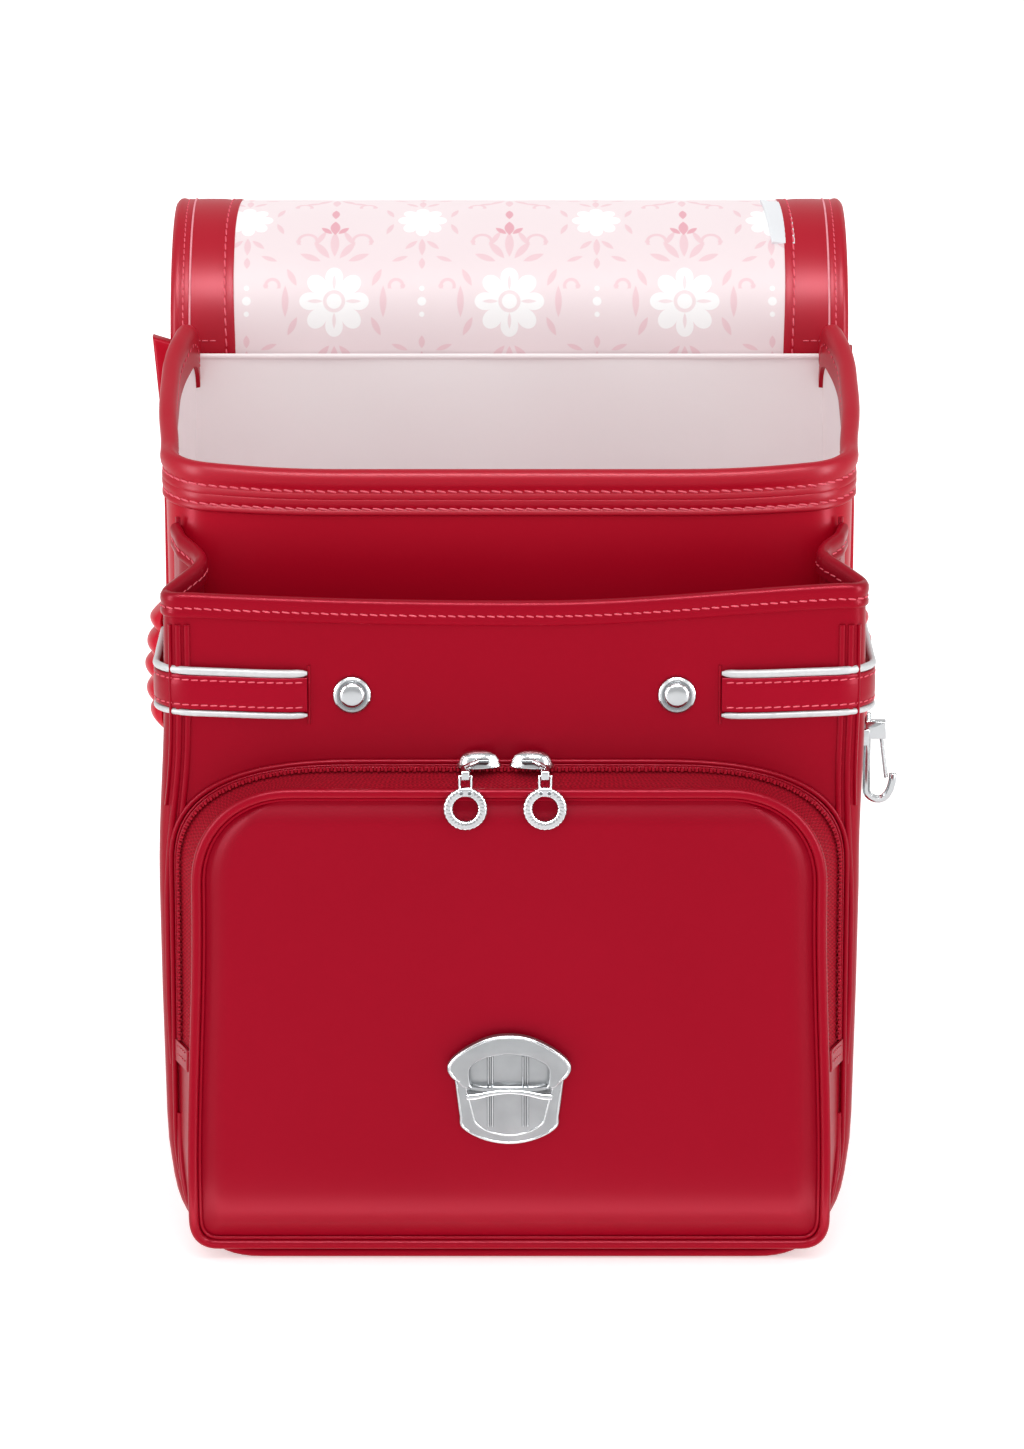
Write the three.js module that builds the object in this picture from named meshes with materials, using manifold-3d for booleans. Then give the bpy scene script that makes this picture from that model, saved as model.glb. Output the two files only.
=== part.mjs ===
// A school ransel: a stiff satchel worn on the back, with its flap thrown open over the back.
// Millimetres. X to the right, Y to the back, Z up, origin under the middle of the main compartment.
import * as THREE from "three";
import { mergeVertices } from "three/addons/utils/BufferGeometryUtils.js";
import Module from "manifold-3d";

const wasm = await Module();
wasm.setup();

// Sheets and clearances
const LEATHER = 2;
const LINING = 0.8;
const GAP = 0.3;

// Main compartment
const MAIN_WIDTH = 252;
const MAIN_DEPTH = 124;
const MAIN_FILLET = 16;
const MOUTH_FRONT_TOP = 282.5;
const EAR_RISE = 36;
const BACK_WALL_TOP = 303.5;
const CORNER_ACROSS = 32;
const CORNER_UP = 50;
const SQUARENESS = 2.6;
const BAND_DROP = 17;
const BAND_SKIN = 1.4;

// Height of the mouth, from its front edge to the back wall, as shares of the depth and the rise
const MOUTH_PROFILE = [
  { depth: 0, rise: 0 },
  { depth: 0.14, rise: 0.06 },
  { depth: 0.34, rise: 0.3 },
  { depth: 0.58, rise: 0.62 },
  { depth: 0.78, rise: 0.9 },
  { depth: 0.88, rise: 1 },
  { depth: 0.94, rise: 0.94 },
  { depth: 0.975, rise: 0.8 },
  { depth: 1, rise: 0.6 },
];

// Back panel
const PANEL_WIDTH = 270;
const PANEL_THICKNESS = 14;
const PANEL_TOP = 306;
const PANEL_EDGE = 4;
const PANEL_EASE = 1;

// Second pocket
const SECOND_DEPTH = 45;
const SECOND_BULGE = 3;
const SECOND_FILLET = 6;
const SECOND_SEAM = 11.4;
const SECOND_TOP = 243.8;
const SECOND_CORNER_RISE = 3;
const SECOND_ROOT_RISE = 16;
const SECOND_SHIFT = 1.9;
const SECOND_LEATHER = 1.6;
const ROOT_INSET = 2.5;
const FOLD_DEPTH = 13;
const FOLD_FOOT = 125;
const HEM_DROP = 9;
const HEM_SKIN = 0.9;

// Inward fold of the second pocket's side, as shares of its depth and of the fold's depth
const FOLD_PROFILE = [
  { depth: 0, fold: 0 },
  { depth: 0.2, fold: 0.4 },
  { depth: 0.38, fold: 0.84 },
  { depth: 0.5, fold: 1 },
  { depth: 0.62, fold: 0.86 },
  { depth: 0.8, fold: 0.42 },
  { depth: 0.94, fold: 0.08 },
  { depth: 1, fold: 0 },
];

// Zip pocket
const ZIP_DEPTH = 20;
const ZIP_BASE = { half: 121.6, top: 183.5, bottom: 4, across: 52, down: 36, lower: 32, up: 46 };
const ZIP_FRONT = { half: 112.6, top: 175.5, bottom: 10.5, across: 38, down: 38, lower: 14, up: 17 };
const ZIP_FLARE = 3;
const ZIP_TUCK = 8;
const ZIP_TUCK_HEIGHT = 40;
const ZIP_CROWN = 3;
const ZIP_CROWN_WIDTH = 9;
const ZIP_END = 72.5;
const TAPE = 1.1;
const CHAIN_RADIUS = 1.3;
const OUTER_CORD_RADIUS = 0.9;
const PIPING_RADIUS = 1.7;
const END_TAB_HEIGHT = 8;

// Side belts, their trim and their keepers
const BELT_HEIGHT = 12.4;
const BELT_CENTRE = 208.6;
const BELT_THICKNESS = 1.8;
const BELT_END = 74.5;
const BELT_STAND = 1;
const BELT_RAMP = 6;
const BELT_CORNER = 9;
const BELT_SETBACK = 44;
const TRIM_HEIGHT = 2.6;
const TRIM_THICKNESS = 2.4;
const KEEPER_SETBACK = 30;
const KEEPER_WIDTH = 26;
const KEEPER_SCALLOP = 2.4;
const KEEPER_STAND = 9.6;
const KEEPER_HEIGHT = 50;
const KEEPER_DROP = 2;

// Snap caps
const SNAP_RADIUS = 6.8;
const SNAP_DEPTH = 3;
const SNAP_SPACING = 116.8;
const SNAP_HEIGHT = 209.3;

// Lock on the zip pocket
const LOCK_HEIGHT_CENTRE = 68.9;
const LOCK_WIDTH = 45;
const LOCK_HEIGHT = 42.6;
const LOCK_PLATE = 1.4;
const LOCK_FRAME = 3.4;
const LOCK_RIB = 1;
const LOCK_RIB_STAND = 0.7;

// Zipper sliders and pulls
const SLIDER_CENTRE = -1.4;
const SLIDER_SPACING = 19;
const SLIDER_LENGTH = 15.6;
const SLIDER_HEIGHT = 6;
const SLIDER_DEPTH = 8;
const SLIDER_SEAT = 1;
const SLIDER_ARM = 2;
const PULL_SPACING = 28.4;
const PULL_RING_RADIUS = 7.9;
const PULL_HOLE_RADIUS = 4.4;
const PULL_THICKNESS = 2;
const PULL_LINK_WIDTH = 5;
const PULL_LINK_HEIGHT = 5.5;
const PULL_LINK_WALL = 1;
const PULL_EDGE = 0.4;
const CLEVIS_WIDTH = 2.2;
const CLEVIS_HEIGHT = 2.6;

// Side hook
const HOOK_WIRE = 1.5;
const HOOK_STAND = 8.4;
const HOOK_REACH = 10;
const HOOK_TUCK = 2.4;
const HOOK_LENGTH = 33.5;
const HOOK_TIP_RISE = 10;
const HOOK_BEND = 4;
const HOOK_PLATE_WIDTH = 18;
const HOOK_PLATE_DROP = 4;
const LUG_WIDTH = 4.8;
const LUG_HEIGHT = 6.6;
const BOSS_WIDTH = 6;
const GATE_PIVOT_DROP = 11;
const GATE_PIVOT_OUT = 5.4;
const GATE_WIRE = 0.8;

// Flap
const FLAP_WIDTH = 263;
const FLAP_LENGTH = 405;
const FLAP_SHELL = 2;
const ROLL_RADIUS = 49.5;
const ROLL_DROP = 1;
const FLAP_STANDOFF = 2;
const ROLL_ANGLE = 186;
const FLAP_BORDER = 9;
const FLAP_BORDER_SKIN = 2.6;
const FLAP_STRIP = 13.6;
const FLAP_STRIP_GROWTH = 5.4;
const STRIP_GROWS_FROM = 20;
const STRIP_GROWS_TO = 95;
const STRIP_START = 4;
const FLAP_STRIP_SKIN = 1.2;
const FLAP_CORNER = 34;
const TONGUE_WIDTH = 62;
const TONGUE_LENGTH = 34;
const TONGUE_TAPER = 0.28;
const LABEL_WIDTH = 12;
const LABEL_LENGTH = 18;
const LABEL_START = 66;
const LABEL_THICKNESS = 0.5;
const CATCH_HALF_WIDTH = 16;
const CATCH_LENGTH = 19;
const CATCH_THICKNESS = 1.4;
const CATCH_INSET = 5;

// Carrying side
const STRAP_WIDTH = 44;
const STRAP_THICKNESS = 8;
const STRAP_START = 24;
const STRAP_SPREAD = 62;
const STRAP_BACK = 38;
const STRAP_RISE = 290;
const LOWER_STRAP_WIDTH = 24;
const LOWER_STRAP_THICKNESS = 3;
const LOWER_STRAP_LAP = 20;
const RING_ACROSS = 108;
const RING_HEIGHT = 34;
const RING_WIDTH = 34;
const RING_LENGTH = 20;
const RING_WIRE = 3.4;
const ANCHOR_WIDTH = 92;
const ANCHOR_HEIGHT = 26;
const ANCHOR_DEPTH = 8;
const ANCHOR_CENTRE = 268;
const ANCHOR_EDGE = 1;

// Values that follow from the sizes
const mainHalf = MAIN_WIDTH / 2;
const mainFront = -MAIN_DEPTH / 2;
const mainBack = MAIN_DEPTH / 2;
const liningOffset = LEATHER + GAP;
const liningInside = liningOffset + LINING;
const bandTuck = (liningInside + 2 * GAP + 2 * BAND_SKIN) / 2 + GAP;
const secondFront = mainFront - SECOND_DEPTH;
const zipBase = secondFront - GAP;
const zipFront = zipBase - ZIP_DEPTH;
const panelFront = mainBack + GAP;
const panelBack = panelFront + PANEL_THICKNESS;

const { lerp, smoothstep } = THREE.MathUtils;

const finishes = {
  leather: { color: 0xad0d2b, roughness: 0.34, metalness: 0 },
  lining: { color: 0xf2dcdf, roughness: 0.6, metalness: 0 },
  tape: { color: 0xa00a24, roughness: 0.8, metalness: 0 },
  trim: { color: 0xc9cbcc, roughness: 0.35, metalness: 0 },
  label: { color: 0xf6f6f6, roughness: 0.7, metalness: 0 },
  chrome: { color: 0xd2d4d6, roughness: 0.15, metalness: 1 },
};

const ransel = new THREE.Group();

// Adds one named piece to the ransel.
function piece(name, geometry, finish) {
  const mesh = new THREE.Mesh(geometry, new THREE.MeshStandardMaterial(finishes[finish]));
  mesh.name = name;
  ransel.add(mesh);
  return mesh;
}

// The value of one column of a table at a value of another, on straight lines between its rows.
function fromTable(table, column, key, at) {
  const next = table.findIndex((row) => row[key] >= at);
  if (next <= 0) return table[next === 0 ? 0 : table.length - 1][column];
  const low = table[next - 1];
  const high = table[next];
  return lerp(low[column], high[column], (at - low[key]) / (high[key] - low[key]));
}

// A geometry from shared points and triangles, turned so that its faces point out.
function solid(points, faces) {
  let volume = 0;
  const [a, b, c] = [new THREE.Vector3(), new THREE.Vector3(), new THREE.Vector3()];
  for (let i = 0; i < faces.length; i += 3) {
    a.fromArray(points[faces[i]]);
    b.fromArray(points[faces[i + 1]]);
    c.fromArray(points[faces[i + 2]]);
    volume += a.dot(b.cross(c));
  }
  const turned = volume < 0 ? [...faces].reverse() : faces;
  const geometry = new THREE.BufferGeometry();
  geometry.setAttribute("position", new THREE.Float32BufferAttribute(points.flat(), 3));
  geometry.setIndex(turned);
  return geometry;
}

// A sheet with two faces, each a grid of points, joined along its edges.
function wall(outer, inner) {
  const end = outer.length - 1;
  const last = outer[0].length - 1;
  const at = (face, r, c) => (face * (end + 1) + r) * (last + 1) + c;
  const faces = [];
  const quad = (p, q, r, s) => faces.push(p, q, r, p, r, s);
  for (let c = 0; c < last; c++) {
    for (let r = 0; r < end; r++) {
      quad(at(0, r, c), at(0, r, c + 1), at(0, r + 1, c + 1), at(0, r + 1, c));
      quad(at(1, r, c), at(1, r + 1, c), at(1, r + 1, c + 1), at(1, r, c + 1));
    }
    quad(at(0, 0, c), at(1, 0, c), at(1, 0, c + 1), at(0, 0, c + 1));
    quad(at(0, end, c), at(0, end, c + 1), at(1, end, c + 1), at(1, end, c));
  }
  for (let r = 0; r < end; r++) {
    quad(at(0, r, 0), at(0, r + 1, 0), at(1, r + 1, 0), at(1, r, 0));
    quad(at(0, r, last), at(1, r, last), at(1, r + 1, last), at(0, r + 1, last));
  }
  return solid([...outer.flat(), ...inner.flat()], faces);
}

// A solid skinned over closed rings; its ends are filled, unless it closes on itself.
function skin(rings, closed = false, flat = ([x, , z]) => new THREE.Vector2(x, z)) {
  const n = rings[0].length;
  const faces = [];
  const spans = closed ? rings.length : rings.length - 1;
  for (let r = 0; r < spans; r++) {
    const here = r * n;
    const next = ((r + 1) % rings.length) * n;
    for (let c = 0; c < n; c++) {
      const d = (c + 1) % n;
      faces.push(here + c, here + d, next + d, here + c, next + d, next + c);
    }
  }
  if (!closed) {
    const first = rings[0].map(flat);
    const cap = THREE.ShapeUtils.triangulateShape(first, []);
    const area = cap.reduce((sum, t) => sum + THREE.ShapeUtils.area(t.map((i) => first[i])), 0);
    const same = area * THREE.ShapeUtils.area(first) > 0;
    const start = (rings.length - 1) * n;
    for (const [i, j, k] of cap) {
      const [p, q] = same ? [k, j] : [j, k];
      faces.push(i, p, q, start + i, start + q, start + p);
    }
  }
  return solid(rings.flat(), faces);
}

// Sections of cords, as steps across and up: an oval, and a flat band with eased edges.
const oval = (wide, high, sides) =>
  Array.from({ length: sides }, (_, k) => {
    const turn = ((k + 0.5) / sides) * 2 * Math.PI;
    return [wide * Math.cos(turn), high * Math.sin(turn)];
  });
const band = (thick, wide) => {
  const [x, z, eased, side] = [thick / 2, wide / 2, thick / 5, wide / 2 - thick / 2];
  const quarterRound = [[x, side], [eased, z]];
  const half = [...quarterRound, ...quarterRound.map(([a, b]) => [-a, b]).reverse()];
  return [...half, ...half.map(([a, b]) => [-a, -b])];
};

// A cord along a path: axis is the direction that its section keeps upright.
function cord(path, section, axis, closed = false) {
  const points = path.map((p) => new THREE.Vector3(...p));
  const count = points.length;
  const rings = points.map((point, i) => {
    const before = points[closed ? (i + count - 1) % count : Math.max(i - 1, 0)];
    const after = points[closed ? (i + 1) % count : Math.min(i + 1, count - 1)];
    const along = after.clone().sub(before).normalize();
    const across = along.clone().cross(axis).normalize();
    const up = across.clone().cross(along);
    return section.map(([wide, high]) =>
      point.clone().addScaledVector(across, wide).addScaledVector(up, high).toArray(),
    );
  });
  return skin(rings, closed, (_, i) => new THREE.Vector2(...section[i]));
}

// A three.js geometry as a manifold-3d solid, and back.
function toSolid(geometry) {
  const plain = geometry.clone();
  plain.deleteAttribute("normal");
  plain.deleteAttribute("uv");
  const merged = mergeVertices(plain, 1e-4);
  const mesh = new wasm.Mesh({
    numProp: 3,
    vertProperties: merged.attributes.position.array,
    triVerts: new Uint32Array(merged.index.array),
  });
  return new wasm.Manifold(mesh);
}

function toGeometry(manifold) {
  const { vertProperties, triVerts, numProp } = manifold.getMesh();
  const points = [];
  for (let i = 0; i < vertProperties.length; i += numProp)
    points.push([...vertProperties.subarray(i, i + 3)]);
  return solid(points, [...triVerts]);
}

const joined = (...geometries) =>
  toGeometry(geometries.map(toSolid).reduce((all, next) => all.add(next)));
const cut = (geometry, ...tools) =>
  toGeometry(tools.map(toSolid).reduce((rest, tool) => rest.subtract(tool), toSolid(geometry)));

// A box from its lowest to its highest corner.
function block(low, high) {
  const size = high.map((value, i) => value - low[i]);
  const middle = high.map((value, i) => (value + low[i]) / 2);
  return new THREE.BoxGeometry(...size).translate(...middle);
}

// A shape drawn in x and z, given a thickness towards the front from y = back.
function plate(outline, back, thickness, holes = []) {
  const counted = (points) => {
    const corners = points.map(([x, z]) => new THREE.Vector2(x, z));
    return THREE.ShapeUtils.isClockWise(corners) ? corners.reverse() : corners;
  };
  const shape = new THREE.Shape(counted(outline));
  holes.forEach((hole) => shape.holes.push(new THREE.Path(counted(hole))));
  const geometry = new THREE.ExtrudeGeometry(shape, { depth: thickness, bevelEnabled: false });
  return geometry.rotateX(Math.PI / 2).translate(0, back, 0);
}

// A quarter of a squarish ellipse: how far it is along x and z, for a turn from 0 to 1.
function quarter(turn) {
  const angle = (turn * Math.PI) / 2;
  const power = 2 / SQUARENESS;
  const part = (value) => Math.max(value, 0) ** power;
  return { across: part(Math.cos(angle)), up: turn === 0 ? 0 : part(Math.sin(angle)) };
}

// A U outline: down the left side, round the corners and up the right side, as [x, z] pairs.
function uOutline({ half, bottom, top, across, up }, sideSteps) {
  const cornerSteps = 5;
  const left = [];
  for (let i = 0; i < sideSteps; i++)
    left.push([-half, lerp(top, bottom + up, i / sideSteps)]);
  for (let i = 0; i <= cornerSteps; i++) {
    const turn = quarter(i / cornerSteps);
    left.push([-(half - across) - across * turn.across, bottom + up - up * turn.up]);
  }
  return [...left, ...left.map(([x, z]) => [-x, z]).reverse()];
}

const uInset = (inset, half, top) => ({
  half: half - inset,
  bottom: inset,
  top,
  across: Math.max(CORNER_ACROSS - inset, 6),
  up: Math.max(CORNER_UP - inset, 8),
});

// Main compartment

function mouthTop(y) {
  const share = (y - mainFront) / MAIN_DEPTH;
  return MOUTH_FRONT_TOP + EAR_RISE * fromTable(MOUTH_PROFILE, "rise", "depth", share);
}

// Stations from the back to the front wall of a surface that lies this far inside the gusset.
function mainStations(offset) {
  const stations = [];
  const start = mainFront + MAIN_FILLET;
  for (const { depth } of [...MOUTH_PROFILE].reverse()) {
    const y = mainFront + depth * MAIN_DEPTH;
    if (y > start) stations.push({ y, inset: offset });
  }
  const steps = 4;
  for (let i = 0; i <= steps; i++) {
    const angle = ((i / steps) * Math.PI) / 2;
    stations.push({
      y: start - (MAIN_FILLET - offset) * Math.sin(angle),
      inset: MAIN_FILLET - (MAIN_FILLET - offset) * Math.cos(angle),
    });
  }
  return stations;
}

const mainGrid = (offset) =>
  mainStations(offset).map(({ y, inset }) => {
    const size = uInset(inset, mainHalf, mouthTop(y) - bandTuck);
    return uOutline(size, 2).map(([x, z]) => [x, y, z]);
  });

const wallTop = MOUTH_FRONT_TOP - bandTuck;
const frontOutline = uOutline(uInset(MAIN_FILLET + GAP, mainHalf, wallTop), 1);
const backInset = liningInside + BAND_SKIN + 2 * GAP;
const backOutline = uOutline(uInset(backInset, mainHalf, BACK_WALL_TOP), 1);

piece("main_gusset", wall(mainGrid(0), mainGrid(LEATHER)), "leather");
piece("main_front_wall", plate(frontOutline, mainFront + LEATHER, LEATHER), "leather");
piece("lining_gusset", wall(mainGrid(liningOffset), mainGrid(liningInside)), "lining");
piece("lining_front", plate(frontOutline, mainFront + liningInside, LINING), "lining");
piece("lining_back", plate(backOutline, mainBack - GAP, LINING), "lining");

// A band folded over the edge of a wall: down its outside, over its top and down its inside.
function foldedBand(stations, drop, thickness) {
  const face = (spare) =>
    stations.map(({ outer, inner, top }) => {
      const [ox, oy] = outer;
      const [ix, iy] = inner;
      const width = Math.hypot(ox - ix, oy - iy);
      const [ux, uy] = [(ox - ix) / width, (oy - iy) / width];
      const radius = width / 2 + GAP + thickness;
      const held = radius - spare;
      const [cx, cy] = [(ox + ix) / 2, (oy + iy) / 2];
      const section = [[held, -drop]];
      for (let i = 0; i <= 4; i++) {
        const angle = (i / 4) * Math.PI;
        section.push([held * Math.cos(angle), held * Math.sin(angle) - radius]);
      }
      section.push([-held, -drop]);
      return section.map(([out, up]) => [cx + ux * out, cy + uy * out, top + up]);
    });
  return wall(face(0), face(thickness));
}

function mouthStations() {
  const inside = mainStations(liningInside);
  const left = mainStations(0).map(({ y, inset }, i) => ({
    outer: [-(mainHalf - inset), y],
    inner: [-(mainHalf - inside[i].inset), inside[i].y],
    top: mouthTop(y),
  }));
  const flat = mainHalf - MAIN_FILLET;
  const front = [-0.5, 0, 0.5].map((share) => ({
    outer: [share * flat, mainFront],
    inner: [share * flat, mainFront + liningInside],
    top: MOUTH_FRONT_TOP,
  }));
  const mirror = ({ outer, inner, top }) => ({
    outer: [-outer[0], outer[1]],
    inner: [-inner[0], inner[1]],
    top,
  });
  return [...left, ...front, ...left.map(mirror).reverse()];
}

piece("mouth_band", foldedBand(mouthStations(), BAND_DROP, BAND_SKIN), "leather");

// The back panel, a padded board that stands wider than the gusset.
function panelRing(inset, y) {
  return uOutline(uInset(inset, PANEL_WIDTH / 2, PANEL_TOP - inset), 1).map(([x, z]) => [x, y, z]);
}

piece(
  "back_panel",
  skin([
    panelRing(PANEL_EASE, panelFront),
    panelRing(0, panelFront + PANEL_EASE),
    panelRing(0, panelBack - PANEL_EDGE),
    panelRing(PANEL_EASE, panelBack - PANEL_EASE),
    panelRing(PANEL_EDGE, panelBack),
  ]),
  "leather",
);

// Second pocket

const rootY = (inset) =>
  mainFront + MAIN_FILLET - Math.sqrt(MAIN_FILLET ** 2 - (MAIN_FILLET - inset) ** 2);
const secondRoot = rootY(ROOT_INSET + SECOND_LEATHER) - GAP;
const secondCorner = secondFront + SECOND_FILLET;
const secondTuck = HEM_SKIN + 2 * GAP + SECOND_LEATHER / 2;

// The second pocket is soft at its mouth and leans a little to the right there.
const secondShift = (z) => SECOND_SHIFT * smoothstep(z, SECOND_TOP * 0.6, SECOND_TOP * 0.85);

// Height of the second pocket's side at a share of its depth from the root.
const secondSideTop = (share) => SECOND_TOP + SECOND_CORNER_RISE + SECOND_ROOT_RISE * (1 - share);

// Stations of the second pocket's gusset from its root, round the corner, to the front seam.
function secondStations(offset, from = 0) {
  const shares = FOLD_PROFILE.map(({ depth }) => Math.max(depth, from));
  const stations = shares.map((share) => ({
    share,
    y: lerp(secondRoot, secondCorner, share),
    inset: lerp(ROOT_INSET, 0, Math.min(share / 0.2, 1)) + offset,
    fold: FOLD_DEPTH * fromTable(FOLD_PROFILE, "fold", "depth", share),
  }));
  for (const turn of [0.35, 0.7, 1]) {
    const angle = (turn * Math.PI) / 2;
    stations.push({
      share: 1,
      y: secondCorner - (SECOND_FILLET - offset) * Math.sin(angle),
      inset: SECOND_FILLET - (SECOND_FILLET - offset) * Math.cos(angle),
      fold: 0,
    });
  }
  stations.push({ share: 1, y: secondFront + offset, inset: SECOND_SEAM, fold: 0 });
  return stations;
}

const foldAt = (z) => smoothstep(z, FOLD_FOOT, SECOND_TOP);
const bulgeAt = (share) => SECOND_BULGE * smoothstep(share, 0.1, 0.8);

function secondGrid(offset) {
  return secondStations(offset).map(({ share, y, inset, fold }) => {
    const top = secondSideTop(share) - secondTuck;
    const size = uInset(inset, mainHalf + bulgeAt(share), top);
    return uOutline(size, 6).map(([x, z]) => {
      const inward = Math.abs(x) > size.half - 1 ? fold * foldAt(z) : 0;
      return [x - Math.sign(x) * inward + secondShift(z) * share, y, z];
    });
  });
}

const secondFrontSize = uInset(SECOND_SEAM + GAP, mainHalf + SECOND_BULGE, SECOND_TOP - secondTuck);
const secondFrontOutline = uOutline(secondFrontSize, 6).map(([x, z]) => [x + secondShift(z), z]);

// Stations of the hem along the mouth of the second pocket.
function hemStations() {
  const root = rootY(ROOT_INSET + SECOND_LEATHER + GAP + HEM_SKIN) - GAP;
  const from = (secondRoot - root) / (secondRoot - secondCorner);
  const inside = secondStations(SECOND_LEATHER, from);
  const place = ({ share, y, inset, fold }) => [mainHalf + bulgeAt(share) - inset - fold, y];
  const shift = secondShift(SECOND_TOP);
  const sided = (side) =>
    secondStations(0, from).map((station, i) => {
      const [x, y] = place(station);
      const [ix, iy] = place(inside[i]);
      const lean = shift * station.share;
      const top = secondSideTop(station.share);
      return { outer: [side * x + lean, y], inner: [side * ix + lean, iy], top };
    });
  const flat = mainHalf + SECOND_BULGE - SECOND_SEAM;
  const front = [-0.75, -0.4, 0, 0.4, 0.75].map((share) => ({
    outer: [share * flat + shift, secondFront],
    inner: [share * flat + shift, secondFront + SECOND_LEATHER],
    top: SECOND_TOP + SECOND_CORNER_RISE * share ** 2,
  }));
  return [...sided(-1), ...front, ...sided(1).reverse()];
}

piece("second_gusset", wall(secondGrid(0), secondGrid(SECOND_LEATHER)), "leather");
const secondFrontWall = plate(secondFrontOutline, secondFront + SECOND_LEATHER, SECOND_LEATHER);
piece("second_front_wall", secondFrontWall, "leather");
piece("second_hem", foldedBand(hemStations(), HEM_DROP, HEM_SKIN), "leather");

// Zip pocket

// How far the front of the zip pocket curves back at a height.
const tuckAt = (z) => ZIP_TUCK * Math.max(0, 1 - (z - ZIP_FRONT.bottom) / ZIP_TUCK_HEIGHT) ** 2;

// The sizes of the zip pocket's outline at a share of its depth, drawn in by an inset.
function zipSize(share, inset = 0) {
  const size = {};
  for (const key of Object.keys(ZIP_BASE)) size[key] = lerp(ZIP_BASE[key], ZIP_FRONT[key], share);
  return {
    half: size.half - inset,
    top: size.top - inset,
    bottom: size.bottom + inset,
    across: size.across - inset,
    down: size.down - inset,
    lower: size.lower - inset,
    up: size.up - inset,
  };
}

const flareAt = (z, share) =>
  share * ZIP_FLARE * (1 - smoothstep(z, ZIP_END * 0.4, ZIP_BASE.top * 0.75));
const zipY = (z, share, inset) => lerp(zipBase, zipFront + tuckAt(z), share) + inset;

// A point of the zip pocket's wall from its place in the outline.
const zipPoint = (share, depth) => ([x, z]) =>
  [x + Math.sign(x) * flareAt(z, share), zipY(z, share, 0) + depth, z];

// The lower part of the outline, a U that ends at the zipper's ends.
function zipLower(share, inset, end = ZIP_END) {
  const { half, bottom, lower, up } = zipSize(share, inset);
  return uOutline({ half, bottom, top: end, across: lower, up }, 2);
}

// The upper part of the outline, an arch between the zipper's ends.
function zipUpper(share, inset, end = ZIP_END) {
  const { half, top, across, down } = zipSize(share, inset);
  const left = [];
  for (let i = 0; i < 3; i++) left.push([-half, lerp(end, top - down, i / 3)]);
  for (let i = 0; i <= 7; i++) {
    const angle = ((i / 7) * Math.PI) / 2;
    left.push([-(half - across) - across * Math.cos(angle), top - down + down * Math.sin(angle)]);
  }
  const flat = half - across;
  const middle = [-0.5, 0, 0.5].map((part) => [part * flat, top]);
  return [...left, ...middle, ...left.map(([x, z]) => [-x, z]).reverse()];
}

const frontAxis = new THREE.Vector3(0, 1, 0);
const zipShares = [0, 0.4, 1];
const gridOf = (outline, inset, shares) =>
  shares.map((share) => outline(share, inset).map(zipPoint(share, 0)));

const zipSheet = (outline) => wall(gridOf(outline, 0, zipShares), gridOf(outline, TAPE, zipShares));
piece("zip_gusset", zipSheet(zipLower), "leather");
piece("zipper_tape", zipSheet((share, inset) => zipUpper(share, inset, ZIP_END + GAP)), "tape");

const chainShare = 0.3;
const chainPath = zipUpper(chainShare, -(CHAIN_RADIUS + GAP), ZIP_END + END_TAB_HEIGHT + GAP);
const chainSection = oval(CHAIN_RADIUS * 0.6, CHAIN_RADIUS, 4);
const chain = cord(chainPath.map(zipPoint(chainShare, 0)), chainSection, frontAxis);
piece("zipper_chain", chain, "tape");

// A closed cord round the zip pocket: the arch, then the U back to its start.
function zipRound(share, inset) {
  const arch = zipUpper(share, inset);
  const lower = zipLower(share, inset).slice(1, -1).reverse();
  return [...arch, ...lower].map(zipPoint(share, 0));
}

const roundCord = (share, inset, radius, stand, sides) => {
  const path = zipRound(share, inset).map(([x, y, z]) => [x, y - stand, z]);
  return cord(path, oval(radius, radius, sides), frontAxis, true);
};
const outerCord = roundCord(0, -(OUTER_CORD_RADIUS + GAP), OUTER_CORD_RADIUS, OUTER_CORD_RADIUS, 4);
piece("zip_outer_cord", outerCord, "leather");
const piping = roundCord(1, TAPE / 2, PIPING_RADIUS, PIPING_RADIUS + GAP, 6);
piece("zip_piping", piping, "leather");

// The front panel of the zip pocket: crowned, and curved back under its lower edge.
const panelInset = TAPE / 2 + PIPING_RADIUS + GAP;
const crownWidth = (edge) => smoothstep(edge, 0, ZIP_CROWN_WIDTH) ** 0.7;

function frontPanelGrid(depth) {
  const { half, top, bottom, across, down, lower, up } = zipSize(1, panelInset);
  const rows = [];
  for (let i = 0; i <= 4; i++) {
    const level = quarter(1 - i / 4);
    rows.push({ z: bottom + up * (1 - level.up), half: half - lower + lower * level.across });
  }
  for (const share of [0.16, 0.36, 0.66])
    rows.push({ z: lerp(bottom + up, top - down, share), half });
  for (let i = 0; i <= 6; i++) {
    const angle = ((i / 6) * Math.PI) / 2;
    const wide = half - across + across * Math.cos(angle);
    rows.push({ z: top - down + down * Math.sin(angle), half: wide });
  }
  const columns = [-1, -0.965, -0.92, -0.8, -0.45, 0, 0.45, 0.8, 0.92, 0.965, 1];
  return rows.map((row) =>
    columns.map((share) => {
      const wide = row.half + flareAt(row.z, 1);
      const x = share * wide;
      const edge = Math.min(wide - Math.abs(x), top - row.z, row.z - bottom);
      const crown = ZIP_CROWN * crownWidth(edge);
      return [x, zipY(row.z, 1, 0) - GAP - crown + depth, row.z];
    }),
  );
}

piece("zip_front_panel", wall(frontPanelGrid(0), frontPanelGrid(LEATHER)), "leather");

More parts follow.
